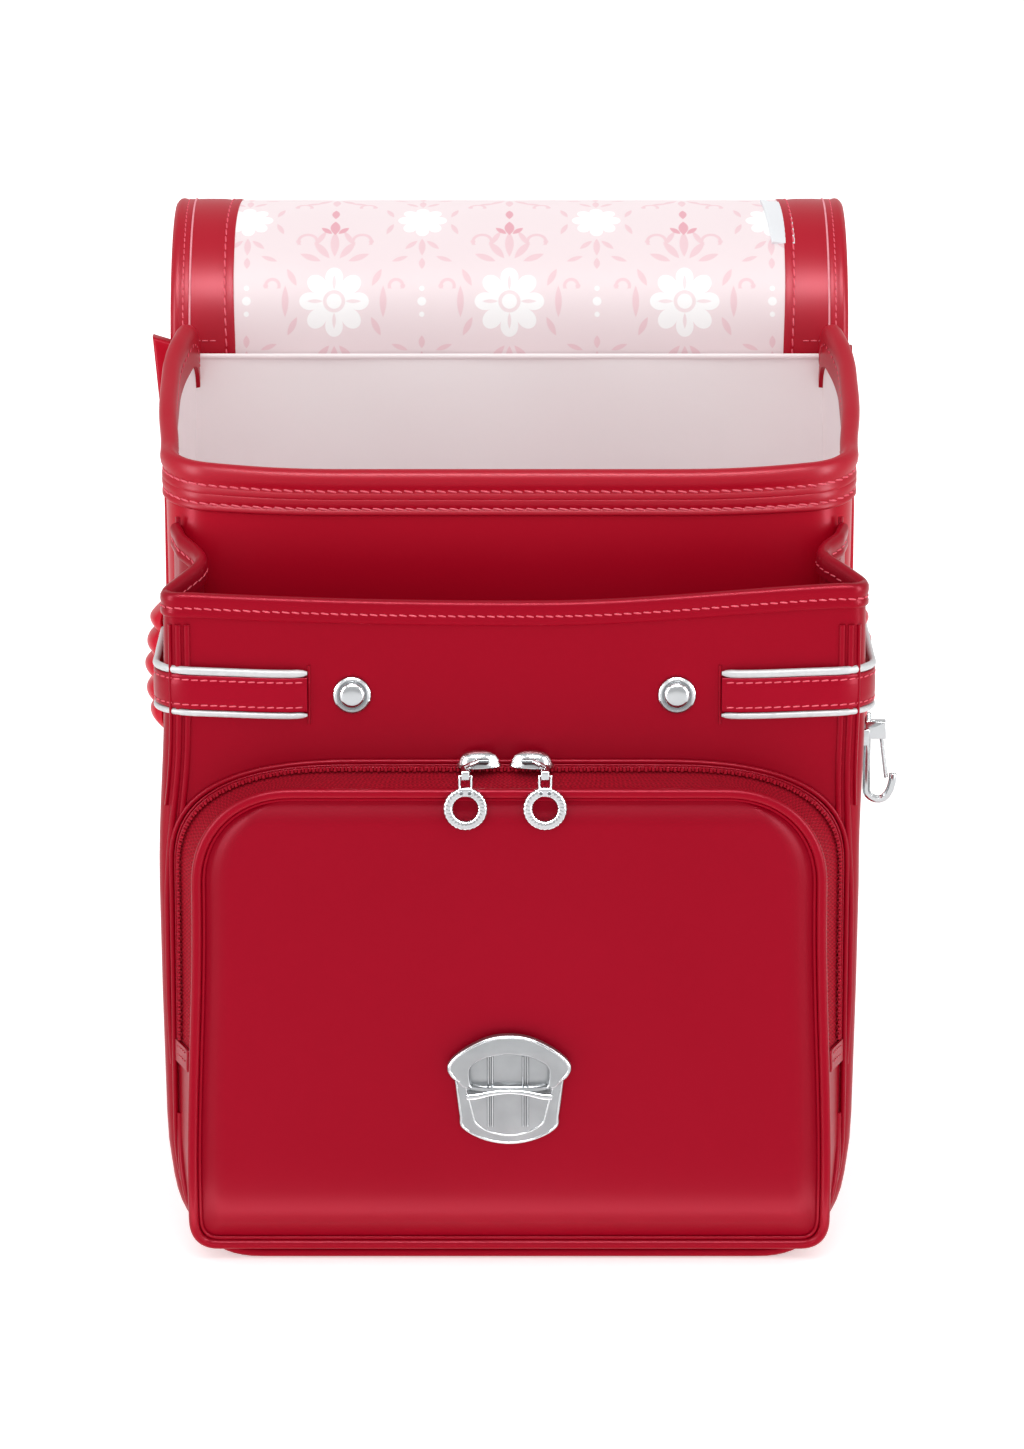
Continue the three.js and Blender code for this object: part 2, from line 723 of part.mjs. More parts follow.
// A small folded tab over each end of the zipper.
for (const [name, side] of [["zip_end_tab_left", -1], ["zip_end_tab_right", 1]]) {
  const face = (lift) =>
    [0.12, 0.5, 0.86].map((share) =>
      [0, 0.5, 1].map((part) => {
        const z = ZIP_END + part * END_TAB_HEIGHT;
        const x = zipSize(share).half + flareAt(z, share) + lift;
        return [side * x, zipY(z, share, 0), z];
      }),
    );
  piece(name, wall(face(GAP + 1), face(GAP)), "leather");
}

// Side belts

const beltX = mainHalf + SECOND_BULGE + BELT_STAND + BELT_THICKNESS;
const beltY = secondFront - GAP - BELT_THICKNESS;
const beltBack = mainFront + BELT_SETBACK;
const keeperCentre = mainFront + KEEPER_SETBACK;

// The belt's run in plan, as points and outward directions, from its front end to the back.
function beltRun(shift) {
  const run = [];
  const corner = BELT_CORNER;
  const flatY = beltY;
  for (const x of [BELT_END, BELT_END + BELT_RAMP]) {
    const stand = x === BELT_END ? 0 : BELT_STAND;
    run.push({ x, y: flatY - stand, out: [0, -1] });
  }
  for (let i = 0; i <= 6; i++) {
    const angle = ((i / 6) * Math.PI) / 2;
    const out = [Math.sin(angle), -Math.cos(angle)];
    run.push({
      x: beltX - corner + corner * out[0],
      y: flatY - BELT_STAND + corner + corner * out[1],
      out,
    });
  }
  run.push({ x: beltX, y: lerp(flatY + corner, beltBack, 0.5), out: [1, 0] });
  run.push({ x: beltX, y: beltBack, out: [1, 0] });
  return run.map((point) => ({ ...point, x: point.x + shift }));
}

for (const [word, side] of [["left", -1], ["right", 1]]) {
  const shift = side * secondShift(BELT_CENTRE);
  const face = (depth) =>
    beltRun(shift).map(({ x, y, out }) =>
      [-0.5, 0.5].map((part) => [
        side * (x - depth * out[0]),
        y - depth * out[1],
        BELT_CENTRE + part * BELT_HEIGHT,
      ]),
    );
  piece("side_belt_" + word, wall(face(0), face(BELT_THICKNESS)), "leather");
  for (const [edge, up] of [["upper", 1], ["lower", -1]]) {
    const z = BELT_CENTRE + up * (BELT_HEIGHT / 2 + GAP + TRIM_HEIGHT / 2);
    const middle = BELT_THICKNESS / 2;
    const path = beltRun(shift).map(({ x, y, out }) => [
      side * (x - middle * out[0]),
      y - middle * out[1],
      z,
    ]);
    const upright = new THREE.Vector3(0, 0, 1);
    const trim = cord(path, oval(TRIM_THICKNESS / 2, TRIM_HEIGHT / 2, 6), upright);
    piece("belt_trim_" + edge + "_" + word, trim, "trim");
  }
}

// A scalloped keeper that bridges each belt, as steps out from the gusset and up.
const KEEPER_PROFILE = [
  { out: 0, up: -1 },
  { out: 0.42, up: -0.8 },
  { out: 0.86, up: -0.5 },
  { out: 1, up: -0.15 },
  { out: 0.9, up: 0.2 },
  { out: 0.78, up: 0.55 },
  { out: 0.5, up: 0.85 },
  { out: 0, up: 1 },
];

for (const [name, side] of [["side_keeper_left", -1], ["side_keeper_right", 1]]) {
  const face = (depth) =>
    KEEPER_PROFILE.map(({ out, up }, i) => {
      const x = mainHalf + GAP + LEATHER + out * KEEPER_STAND - depth;
      const z = BELT_CENTRE - KEEPER_DROP + (up * KEEPER_HEIGHT) / 2;
      const scallop = i % 2 ? KEEPER_SCALLOP : 0;
      return [-0.5, 0, 0.5].map((part) => [
        side * x,
        keeperCentre + part * (KEEPER_WIDTH + 2 * scallop),
        z,
      ]);
    });
  piece(name, wall(face(0), face(LEATHER)), "leather");
}

// Snap caps: a flat collar and a low dome, as shares of the radius and the depth.
const SNAP_PROFILE = [
  { radius: 0, height: 0 },
  { radius: 1, height: 0 },
  { radius: 1, height: 0.27 },
  { radius: 0.9, height: 0.5 },
  { radius: 0.72, height: 0.37 },
  { radius: 0.66, height: 0.67 },
  { radius: 0.4, height: 0.9 },
  { radius: 0, height: 1 },
];
const snapProfile = SNAP_PROFILE.map(
  ({ radius, height }) => new THREE.Vector2(radius * SNAP_RADIUS, height * SNAP_DEPTH),
);

for (const [name, side] of [["snap_cap_left", -1], ["snap_cap_right", 1]]) {
  const cap = new THREE.LatheGeometry(snapProfile, 16).rotateX(Math.PI);
  const x = (side * SNAP_SPACING) / 2 + secondShift(SNAP_HEIGHT);
  cap.translate(x, secondFront - GAP, SNAP_HEIGHT);
  piece(name, cap, "chrome");
}

// Lock: outlines as shares of half its width and of its height, from its centre
const LOCK_PLATE_OUTLINE = [
  { x: -0.9, z: 0.12 },
  { x: -0.8, z: -0.24 },
  { x: -0.79, z: -0.33 },
  { x: -0.62, z: -0.4 },
  { x: -0.35, z: -0.47 },
  { x: 0, z: -0.5 },
];
const LOCK_VISOR_OUTLINE = [
  { x: 0, z: -0.02 },
  { x: -0.4, z: -0.04 },
  { x: -0.67, z: -0.075 },
  { x: -0.7, z: 0.04 },
  { x: -0.86, z: 0.08 },
  { x: -0.97, z: 0.15 },
  { x: -1, z: 0.2 },
  { x: -0.94, z: 0.27 },
  { x: -0.72, z: 0.38 },
  { x: -0.4, z: 0.47 },
  { x: 0, z: 0.5 },
];
const LOCK_WINDOW_OUTLINE = [
  { x: 0, z: 0.05 },
  { x: -0.6, z: 0.02 },
  { x: -0.64, z: 0.2 },
  { x: -0.36, z: 0.29 },
  { x: 0, z: 0.32 },
];

// A left half outline in shares, mirrored to the right and scaled to the lock.
function lockOutline(table) {
  const left = table.map(({ x, z }) => [
    (x * LOCK_WIDTH) / 2,
    LOCK_HEIGHT_CENTRE + z * LOCK_HEIGHT,
  ]);
  const right = left.filter(([x]) => x < 0).map(([x, z]) => [-x, z]);
  return [...left, ...right.reverse()];
}

const lockBack = zipFront - 2 * GAP - ZIP_CROWN;
const ribFront = lockBack - LOCK_PLATE - LOCK_RIB_STAND;
const ribs = [-0.33, -0.22, 0.22, 0.33].map((share) => {
  const x = (share * LOCK_WIDTH) / 2;
  const [low, high] = [-0.32, 0.27].map((part) => LOCK_HEIGHT_CENTRE + part * LOCK_HEIGHT);
  return block(
    [x - LOCK_RIB / 2, ribFront, low],
    [x + LOCK_RIB / 2, lockBack - LOCK_PLATE / 2, high],
  );
});
const lockPlate = plate(lockOutline(LOCK_PLATE_OUTLINE), lockBack, LOCK_PLATE);
piece("lock_plate", joined(lockPlate, ...ribs), "chrome");

const lockWindow = lockOutline(LOCK_WINDOW_OUTLINE);
const visor = plate(lockOutline(LOCK_VISOR_OUTLINE), ribFront - GAP, LOCK_FRAME, [lockWindow]);
piece("lock_visor", visor, "chrome");

// Zipper sliders and ring pulls

const sliderTop = zipSize(chainShare).top + CHAIN_RADIUS;
const sliderY = zipY(sliderTop, chainShare, 0) - SLIDER_SEAT;
const clevisTop = sliderTop + CHAIN_RADIUS + SLIDER_HEIGHT * 0.85;
const clevisBottom = clevisTop - CLEVIS_HEIGHT;
const pullBack = zipFront - 2 * PIPING_RADIUS - 3 * GAP;
const pullFront = pullBack - PULL_THICKNESS;
const linkTop = clevisBottom - GAP;
const linkBottom = linkTop - PULL_LINK_HEIGHT;

// The ring's section, with its four edges eased.
function ringSection() {
  const [inner, outer, deep] = [PULL_HOLE_RADIUS, PULL_RING_RADIUS, PULL_THICKNESS];
  const section = [
    [inner, PULL_EDGE],
    [inner + PULL_EDGE, 0],
    [outer - PULL_EDGE, 0],
    [outer, PULL_EDGE],
    [outer, deep - PULL_EDGE],
    [outer - PULL_EDGE, deep],
    [inner + PULL_EDGE, deep],
    [inner, deep - PULL_EDGE],
    [inner, PULL_EDGE],
  ];
  return section.map(([radius, height]) => new THREE.Vector2(radius, height));
}

for (const [word, side] of [["left", -1], ["right", 1]]) {
  const x = SLIDER_CENTRE + (side * SLIDER_SPACING) / 2;
  const body = new THREE.SphereGeometry(0.5, 12, 8);
  body.scale(SLIDER_LENGTH, SLIDER_DEPTH, SLIDER_HEIGHT);
  body.translate(x, sliderY, sliderTop + CHAIN_RADIUS + SLIDER_HEIGHT / 2);
  const pullX = SLIDER_CENTRE + (side * PULL_SPACING) / 2;
  const clevis = block(
    [pullX - CLEVIS_WIDTH / 2, pullFront, clevisBottom],
    [pullX + CLEVIS_WIDTH / 2, sliderY, clevisTop],
  );
  const arm = block(
    [Math.min(x, pullX), sliderY - SLIDER_ARM / 2, clevisBottom],
    [Math.max(x, pullX) + SLIDER_ARM / 2, sliderY + SLIDER_ARM / 2, clevisTop],
  );
  piece("zipper_slider_" + word, joined(body, clevis, arm), "chrome");

  const half = PULL_LINK_WIDTH / 2;
  const link = cut(
    block([pullX - half, pullFront, linkBottom], [pullX + half, pullBack - PULL_EDGE, linkTop]),
    block(
      [pullX - half + PULL_LINK_WALL, pullFront - PULL_EDGE, linkBottom + 2 * PULL_LINK_WALL],
      [pullX + half - PULL_LINK_WALL, pullBack + PULL_EDGE, linkTop - PULL_LINK_WALL],
    ),
  );
  const ring = new THREE.LatheGeometry(ringSection(), 20).rotateX(Math.PI);
  ring.translate(pullX, pullBack, linkBottom + PULL_LINK_WALL - PULL_RING_RADIUS);
  piece("zipper_pull_" + word, joined(link, ring), "chrome");
}

// Side hook, on the right side only

const hookX = mainHalf + HOOK_STAND;
const hookY = keeperCentre;
const hookTop = BELT_CENTRE - KEEPER_DROP - KEEPER_HEIGHT / 2 + HOOK_TUCK;
const hookBottom = hookTop - HOOK_LENGTH;
const hookTip = hookBottom + HOOK_TIP_RISE;
const round = (path, radius) => cord(path, oval(radius, radius, 8), frontAxis);

function hookPath() {
  const path = [
    [hookX, hookY, hookTop],
    [hookX, hookY, (hookTop + hookBottom) / 2],
  ];
  for (let i = 0; i <= 6; i++) {
    const angle = ((i / 6) * Math.PI) / 2;
    path.push([
      hookX + HOOK_REACH * (1 - Math.cos(angle)) * 0.5,
      hookY,
      hookBottom + HOOK_BEND * (1 - Math.sin(angle)),
    ]);
  }
  for (let i = 1; i <= 5; i++) {
    const angle = ((i / 5) * Math.PI) / 2;
    path.push([
      hookX + HOOK_REACH * 0.5 * (1 + Math.sin(angle)),
      hookY,
      hookBottom + HOOK_TIP_RISE * (1 - Math.cos(angle)),
    ]);
  }
  return path;
}

const plateX = mainHalf + GAP;
const plateOut = plateX + LEATHER;
const hookPlate = block(
  [plateX, hookY - HOOK_PLATE_WIDTH / 2, hookBottom - HOOK_PLATE_DROP],
  [plateOut, hookY + HOOK_PLATE_WIDTH / 2, hookTop - HOOK_PLATE_DROP],
);
piece("hook_plate", hookPlate, "chrome");

const lugBottom = hookTop - GATE_PIVOT_DROP + GATE_WIRE + 2 * GAP;
const lug = block(
  [hookX - GATE_WIRE, hookY - LUG_WIDTH / 2, lugBottom],
  [hookX + GATE_PIVOT_OUT + 2 * GATE_WIRE, hookY + LUG_WIDTH / 2, lugBottom + LUG_HEIGHT],
);
const boss = block(
  [plateOut + GAP, hookY - BOSS_WIDTH / 2, hookTop - 2 * BOSS_WIDTH],
  [hookX + GATE_WIRE, hookY + BOSS_WIDTH / 2, hookTop - BOSS_WIDTH],
);
piece("side_hook", joined(round(hookPath(), HOOK_WIRE), lug, boss), "chrome");

const gateTop = [hookX + GATE_PIVOT_OUT, hookY, lugBottom - GAP];
const gateOut = hookX + HOOK_REACH - HOOK_WIRE - GATE_WIRE - GAP;
const gateEnd = [gateOut, hookY, hookTip - HOOK_WIRE];
piece("hook_gate", round([gateTop, gateEnd], GATE_WIRE), "chrome");

// Flap, a broad sheet that rises behind the back wall, rolls backwards and hangs down behind

const flapCoreY = mainBack + FLAP_STANDOFF + FLAP_SHELL + LINING + GAP + ROLL_RADIUS;
const rollHeight = PANEL_TOP - ROLL_DROP;
const rollStart = Math.asin((ROLL_DROP + GAP) / ROLL_RADIUS);
const rollEnd = (ROLL_ANGLE * Math.PI) / 180;
const rollLength = (rollEnd - rollStart) * ROLL_RADIUS;

// A point of the flap at a distance along it, lifted from its outer leather towards the lining.
function flapPoint(x, along, lift) {
  const angle = rollStart + Math.min(along, rollLength) / ROLL_RADIUS;
  const radius = ROLL_RADIUS + lift;
  const rest = Math.max(0, along - rollLength);
  return [
    x,
    flapCoreY - radius * Math.cos(angle) + rest * Math.sin(angle),
    rollHeight + radius * Math.sin(angle) + rest * Math.cos(angle),
  ];
}

// Distances along the flap: close steps round the roll, wide steps where it hangs straight.
function flapSteps(from, to) {
  const steps = [from];
  for (let i = 1; i < 13; i++) steps.push((i / 13) * rollLength);
  for (const share of [0, 0.3, 0.6]) steps.push(lerp(rollLength, FLAP_LENGTH - FLAP_CORNER, share));
  for (let i = 0; i <= 4; i++)
    steps.push(FLAP_LENGTH - FLAP_CORNER + FLAP_CORNER * Math.sin(((i / 4) * Math.PI) / 2));
  steps.push(to);
  return [...new Set(steps)].filter((s) => s >= from && s <= to).sort((a, b) => a - b);
}

// Half the width of the flap at a distance along it; its far corners are rounded.
function flapHalf(along) {
  const past = Math.max(0, along - (FLAP_LENGTH - FLAP_CORNER));
  const drop = FLAP_CORNER - Math.sqrt(Math.max(0, FLAP_CORNER ** 2 - past ** 2));
  return FLAP_WIDTH / 2 - drop;
}

// A strip of the flap between two edges, each a function of the distance along it.
function flapStrip(from, to, left, right, low, high, columns = 1) {
  const face = (lift) =>
    flapSteps(from, to).map((along) =>
      Array.from({ length: columns + 1 }, (_, i) =>
        flapPoint(lerp(left(along), right(along), i / columns), along, lift),
      ),
    );
  return wall(face(high), face(low));
}

const liningLow = FLAP_SHELL + GAP;
const liningHigh = liningLow + LINING;
const stripHalf = FLAP_WIDTH / 2 - FLAP_BORDER;
const stripWidth = (along) =>
  FLAP_STRIP + FLAP_STRIP_GROWTH * smoothstep(along, STRIP_GROWS_FROM, STRIP_GROWS_TO);
const borderEnd = FLAP_LENGTH - FLAP_CORNER;

const shellLeft = (s) => -flapHalf(s);
piece("flap_shell", flapStrip(0, FLAP_LENGTH, shellLeft, flapHalf, 0, FLAP_SHELL, 2), "leather");
const liningHalf = stripHalf - GAP;
const liningEdges = [() => -liningHalf, () => liningHalf];
const flapLining = flapStrip(1, borderEnd, ...liningEdges, liningLow, liningHigh, 2);
piece("flap_lining", flapLining, "lining");

for (const [word, side] of [["left", -1], ["right", 1]]) {
  const edge = (s) => side * flapHalf(s);
  const inner = () => side * stripHalf;
  const borderTop = liningLow + FLAP_BORDER_SKIN;
  const border = flapStrip(0, borderEnd, edge, inner, liningLow, borderTop);
  piece("flap_border_" + word, border, "leather");
  const outerEdge = () => side * (stripHalf - GAP);
  const innerEdge = (s) => side * (stripHalf - GAP - stripWidth(s));
  const low = liningHigh + GAP;
  const strip = flapStrip(STRIP_START, borderEnd, outerEdge, innerEdge, low, low + FLAP_STRIP_SKIN);
  piece("flap_strip_" + word, strip, "leather");
}

const endHem = flapStrip(
  borderEnd + GAP,
  FLAP_LENGTH - LEATHER,
  (s) => -flapHalf(s) + LEATHER / 2,
  (s) => flapHalf(s) - LEATHER / 2,
  liningLow,
  liningLow + FLAP_BORDER_SKIN,
  2,
);
piece("flap_end_hem", endHem, "leather");

const labelRight = stripHalf - 2 * GAP - stripWidth(LABEL_START + LABEL_LENGTH);
const label = flapStrip(
  LABEL_START,
  LABEL_START + LABEL_LENGTH,
  () => labelRight - LABEL_WIDTH,
  () => labelRight,
  liningHigh + GAP,
  liningHigh + GAP + LABEL_THICKNESS,
);
piece("flap_label", label, "label");

// Tongue at the end of the flap, on its outer leather, with the catch plate for the lock.
const tongueEnd = FLAP_LENGTH + TONGUE_LENGTH;
const tongueHalf = (s) =>
  (TONGUE_WIDTH / 2) * (1 - TONGUE_TAPER * smoothstep(s, FLAP_LENGTH, tongueEnd));
const tongueLeft = (s) => -tongueHalf(s);
const tongueLow = -GAP - LEATHER;
const tongueStart = FLAP_LENGTH - FLAP_CORNER * 0.75;
const tongue = flapStrip(tongueStart, tongueEnd, tongueLeft, tongueHalf, tongueLow, -GAP, 2);
piece("flap_tongue", tongue, "leather");
const catchHigh = tongueLow - GAP;
const catchPlate = flapStrip(
  tongueEnd - CATCH_INSET - CATCH_LENGTH,
  tongueEnd - CATCH_INSET,
  () => -CATCH_HALF_WIDTH,
  () => CATCH_HALF_WIDTH,
  catchHigh - CATCH_THICKNESS,
  catchHigh,
);
piece("flap_catch_plate", catchPlate, "chrome");

// Carrying side: one anchor, two padded shoulder straps, two lower straps, two lower rings

// A stadium standing up from the back panel: its outline in x and z.
function stadium(x, z, width, height) {
  const steps = 5;
  const radius = height / 2;
  const reach = width / 2 - radius;
  const half = Array.from({ length: steps + 1 }, (_, i) => {
    const angle = (i / steps - 0.5) * Math.PI;
    return [reach + radius * Math.cos(angle), radius * Math.sin(angle)];
  });
  return [...half, ...half.map(([a, b]) => [-a, -b])].map(([a, b]) => [x + a, z + b]);
}

const anchorBack = panelBack + GAP + ANCHOR_DEPTH;
const anchorRing = (inset, y) =>
  stadium(0, ANCHOR_CENTRE, ANCHOR_WIDTH - 2 * inset, ANCHOR_HEIGHT - 2 * inset).map(([x, z]) => [
    x,
    y,
    z,
  ]);
const anchorBody = skin([
  anchorRing(0, panelBack + GAP),
  anchorRing(0, anchorBack - ANCHOR_EDGE),
  anchorRing(ANCHOR_EDGE, anchorBack),
]);
piece("strap_anchor", anchorBody, "leather");

// The strap's middle line, as shares: out to the side, back from the anchor, and up.
const STRAP_PATH = [
  { side: 0, back: 0, height: 0.89 },
  { side: 0, back: 0, height: 0.955 },
  { side: 0.01, back: 0.12, height: 0.99 },
  { side: 0.04, back: 0.4, height: 1 },
  { side: 0.08, back: 0.72, height: 0.975 },
  { side: 0.15, back: 0.92, height: 0.9 },
  { side: 0.26, back: 1, height: 0.8 },
  { side: 0.47, back: 0.96, height: 0.62 },
  { side: 0.7, back: 0.72, height: 0.46 },
  { side: 0.86, back: 0.42, height: 0.345 },
  { side: 0.93, back: 0.27, height: 0.3 },
];
const strapY = anchorBack + GAP + STRAP_THICKNESS / 2;
const ringBack = panelBack + GAP + RING_WIRE;
const tailY = ringBack + GAP + LOWER_STRAP_THICKNESS / 2;
const sideAxis = new THREE.Vector3(1, 0, 0);

const strapPath = STRAP_PATH.map(({ side, back, height }) => [
  STRAP_START + side * STRAP_SPREAD,
  strapY + back * STRAP_BACK,
  height * STRAP_RISE,
]);
const [before, last] = strapPath.slice(-2).map((p) => new THREE.Vector3(...p));
const along = last.clone().sub(before).normalize();
const off = along.clone().cross(sideAxis).normalize();
if (off.y > 0) off.negate();
const under = (STRAP_THICKNESS + LOWER_STRAP_THICKNESS) / 2 + 2 * GAP;
const lapped = [-0.6, 0.4].map((share) =>
  last
    .clone()
    .addScaledVector(along, share * LOWER_STRAP_LAP)
    .addScaledVector(off, under)
    .toArray(),
);
const ringTop = RING_HEIGHT + RING_LENGTH / 2;
const tailPath = [
  ...lapped,
  [RING_ACROSS, tailY, ringTop + LOWER_STRAP_LAP / 2],
  [RING_ACROSS, tailY, ringTop],
  [RING_ACROSS, tailY, RING_HEIGHT],
];
const ringHole = stadium(
  RING_ACROSS,
  RING_HEIGHT,
  RING_WIDTH - 2 * RING_WIRE,
  RING_LENGTH - 2 * RING_WIRE,
);
const ringOutline = stadium(RING_ACROSS, RING_HEIGHT, RING_WIDTH, RING_LENGTH);

// The right strap, its tail and its ring, each with a mirrored twin on the left.
const mirrored = (geometry) => toGeometry(toSolid(geometry).mirror([1, 0, 0]));
for (const [name, geometry, finish] of [
  ["shoulder_strap", cord(strapPath, band(STRAP_THICKNESS, STRAP_WIDTH), sideAxis), "leather"],
  ["lower_strap", cord(tailPath, band(LOWER_STRAP_THICKNESS, LOWER_STRAP_WIDTH), sideAxis), "leather"],
  ["lower_ring", plate(ringOutline, ringBack, RING_WIRE, [ringHole]), "chrome"],
]) {
  piece(name + "_right", geometry, finish);
  piece(name + "_left", mirrored(geometry), finish);
}

export default ransel;
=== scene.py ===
import math

import bmesh
import bpy
import numpy as np
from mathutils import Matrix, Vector


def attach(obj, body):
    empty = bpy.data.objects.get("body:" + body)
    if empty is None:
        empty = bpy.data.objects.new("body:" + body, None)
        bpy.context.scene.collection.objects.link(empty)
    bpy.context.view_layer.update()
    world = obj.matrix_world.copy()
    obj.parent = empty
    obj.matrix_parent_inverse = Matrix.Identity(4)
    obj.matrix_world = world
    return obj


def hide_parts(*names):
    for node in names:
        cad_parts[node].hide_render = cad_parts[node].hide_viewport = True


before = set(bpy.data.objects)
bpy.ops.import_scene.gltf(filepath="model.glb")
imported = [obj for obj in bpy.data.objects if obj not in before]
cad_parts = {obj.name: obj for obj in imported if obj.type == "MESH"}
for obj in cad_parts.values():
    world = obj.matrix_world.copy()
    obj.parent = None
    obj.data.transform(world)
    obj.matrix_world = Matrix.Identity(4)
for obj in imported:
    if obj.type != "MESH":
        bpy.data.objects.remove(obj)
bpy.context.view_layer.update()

bpy.ops.object.select_all(action="DESELECT")

# Studio
# A pale floor under an even white sky, soft fills above, in front and behind, and bright strips that
# only the gloss shows, one of them low under the lock. A long lens looks from 14 degrees above.
bpy.ops.object.camera_add(location=(0.001, -1.8727, 0.6384), rotation=(math.radians(76), 0, 0))
camera = bpy.context.object
camera.data.sensor_fit = "VERTICAL"
camera.data.sensor_height = 36
camera.data.lens = 125.5
camera.data.clip_end = 40
bpy.context.scene.camera = camera
bpy.context.scene.view_settings.view_transform = "Standard"

world = bpy.data.worlds.new("studio")
bpy.context.scene.world = world
world.use_nodes = True
sky = world.node_tree.nodes["Background"]
sky.inputs["Color"].default_value = (1, 1, 1, 1)
seen = world.node_tree.nodes.new("ShaderNodeLightPath")
backdrop = world.node_tree.nodes.new("ShaderNodeMapRange")
backdrop.inputs["To Min"].default_value = 0.8
backdrop.inputs["To Max"].default_value = 1.0
world.node_tree.links.new(seen.outputs["Is Camera Ray"], backdrop.inputs["Value"])
world.node_tree.links.new(backdrop.outputs["Result"], sky.inputs["Strength"])

for place, aim, size, watts, gloss in [
    ((0, -0.2, 2.4), (0, 0, 0.1), (2.6, 2.6), 14, False),
    ((0, -2.6, 1.0), (0, 0, 0.2), (2.6, 1.6), 5, False),
    ((0, 2.3, 1.5), (0, 0, 0.3), (2.2, 1.2), 10, False),
    ((0, -1.25, 1.95), (0, 0, 0.3), (1.7, 0.5), 110, True),
    ((-1.5, -0.85, 0.7), (0, -0.05, 0.16), (0.34, 1.3), 52, True),
    ((1.5, -0.85, 0.7), (0, -0.05, 0.16), (0.34, 1.3), 52, True),
    ((0, -0.145, 0.002), (0, -0.145, 1), (0.3, 0.016), 0.09, True),
]:
    bpy.ops.object.light_add(type="AREA", location=place)
    softbox = bpy.context.object
    softbox.rotation_euler = (Vector(aim) - Vector(place)).to_track_quat("-Z", "Y").to_euler()
    softbox.data.shape = "RECTANGLE"
    softbox.data.size, softbox.data.size_y = size
    softbox.data.energy = watts
    softbox.visible_glossy = gloss
    softbox.visible_diffuse = not gloss
    softbox.visible_camera = False

bpy.ops.mesh.primitive_plane_add(size=24, location=(0, 4, -0.0002))
floor = bpy.context.object
floor.name = "floor"
floor_paint = bpy.data.materials.new("floor_paint")
floor_paint.use_nodes = True
paint = floor_paint.node_tree.nodes["Principled BSDF"]
paint.inputs["Base Color"].default_value = (0.9, 0.9, 0.9, 1)
paint.inputs["Roughness"].default_value = 0.7
paint.inputs["Emission Color"].default_value = (1, 1, 1, 1)
paint.inputs["Emission Strength"].default_value = 0.48
floor.data.materials.append(floor_paint)


# Main compartment
# Two millimetres of smooth red artificial leather over a stiff core, bent into a gusset and a front
# wall in one run, with rounded lower corners; its mouth rises to an ear beside the back wall.
class Value:
    """One socket of a material, with arithmetic that adds Math nodes."""

    def __init__(self, tree, socket):
        self.tree = tree
        self.socket = socket

    def node(self, kind, sockets, output=0, **settings):
        made = self.tree.nodes.new(kind)
        for key, setting in settings.items():
            setattr(made, key, setting)
        for key, given in sockets.items():
            if isinstance(given, Value):
                self.tree.links.new(given.socket, made.inputs[key])
            else:
                made.inputs[key].default_value = given
        return Value(self.tree, made.outputs[output])

    def output(self, index):
        """Another output of the same node."""
        return Value(self.tree, self.socket.node.outputs[index])

    def maths(self, operation, *others, clamp=False):
        sockets = dict(enumerate((self, *others)))
        return self.node("ShaderNodeMath", sockets, operation=operation, use_clamp=clamp)

    def __add__(self, other):
        return self.maths("ADD", other)

    def __sub__(self, other):
        return self.maths("SUBTRACT", other)

    def __mul__(self, other):
        return self.maths("MULTIPLY", other)

    def __truediv__(self, other):
        return self.maths("DIVIDE", other)

    def __rsub__(self, other):
        return self.maths("MULTIPLY", -1.0) + other

    __radd__ = __add__
    __rmul__ = __mul__

    def size(self):
        return self.maths("ABSOLUTE")

    def part(self):
        return self.maths("FRACT")

    def below(self, edge, soft):
        """One where this is less than the edge, fading over a soft step."""
        return ((edge - self) / soft).maths("ADD", 0.5, clamp=True)

    def either(self, other):
        return self.maths("MAXIMUM", other)

    def both(self, other):
        return self.maths("MINIMUM", other)

    def blend(self, low, high):
        """A mix of two colours by this share."""
        return self.node("ShaderNodeMix", {0: self, 6: low, 7: high}, output=2, data_type="RGBA")


def srgb(*channels):
    """A colour as a screen shows it, in the shader's own values."""
    shares = [channel / 255 for channel in channels]
    straight = [share / 12.92 if share < 0.04 else ((share + 0.055) / 1.055) ** 2.4 for share in shares]
    return (*straight, 1.0)


class Finish:
    """A material with its shader, its object coordinates and its noises."""

    def __init__(self, name, **constants):
        self.material = bpy.data.materials.new(name)
        self.material.use_nodes = True
        tree = self.material.node_tree
        self.shader = tree.nodes["Principled BSDF"]
        place = tree.nodes.new("ShaderNodeTexCoord")
        self.place = Value(tree, place.outputs["Object"])
        self.flat = Value(tree, place.outputs["UV"])
        for key, given in constants.items():
            self.shader.inputs[key.replace("_", " ")].default_value = given

    def noise(self, scale, detail=2.0):
        sockets = {"Vector": self.place, "Scale": scale, "Detail": detail}
        return self.place.node("ShaderNodeTexNoise", sockets)

    def cells(self, scale, **settings):
        return self.place.node("ShaderNodeTexVoronoi", {"Vector": self.place, "Scale": scale}, **settings)

    def feed(self, **sockets):
        tree = self.material.node_tree
        for key, given in sockets.items():
            tree.links.new(given.socket, self.shader.inputs[key.replace("_", " ")])
        return self

    def bump(self, height, strength, distance):
        sockets = {"Height": height, "Strength": strength, "Distance": distance}
        return self.feed(Normal=height.node("ShaderNodeBump", sockets))


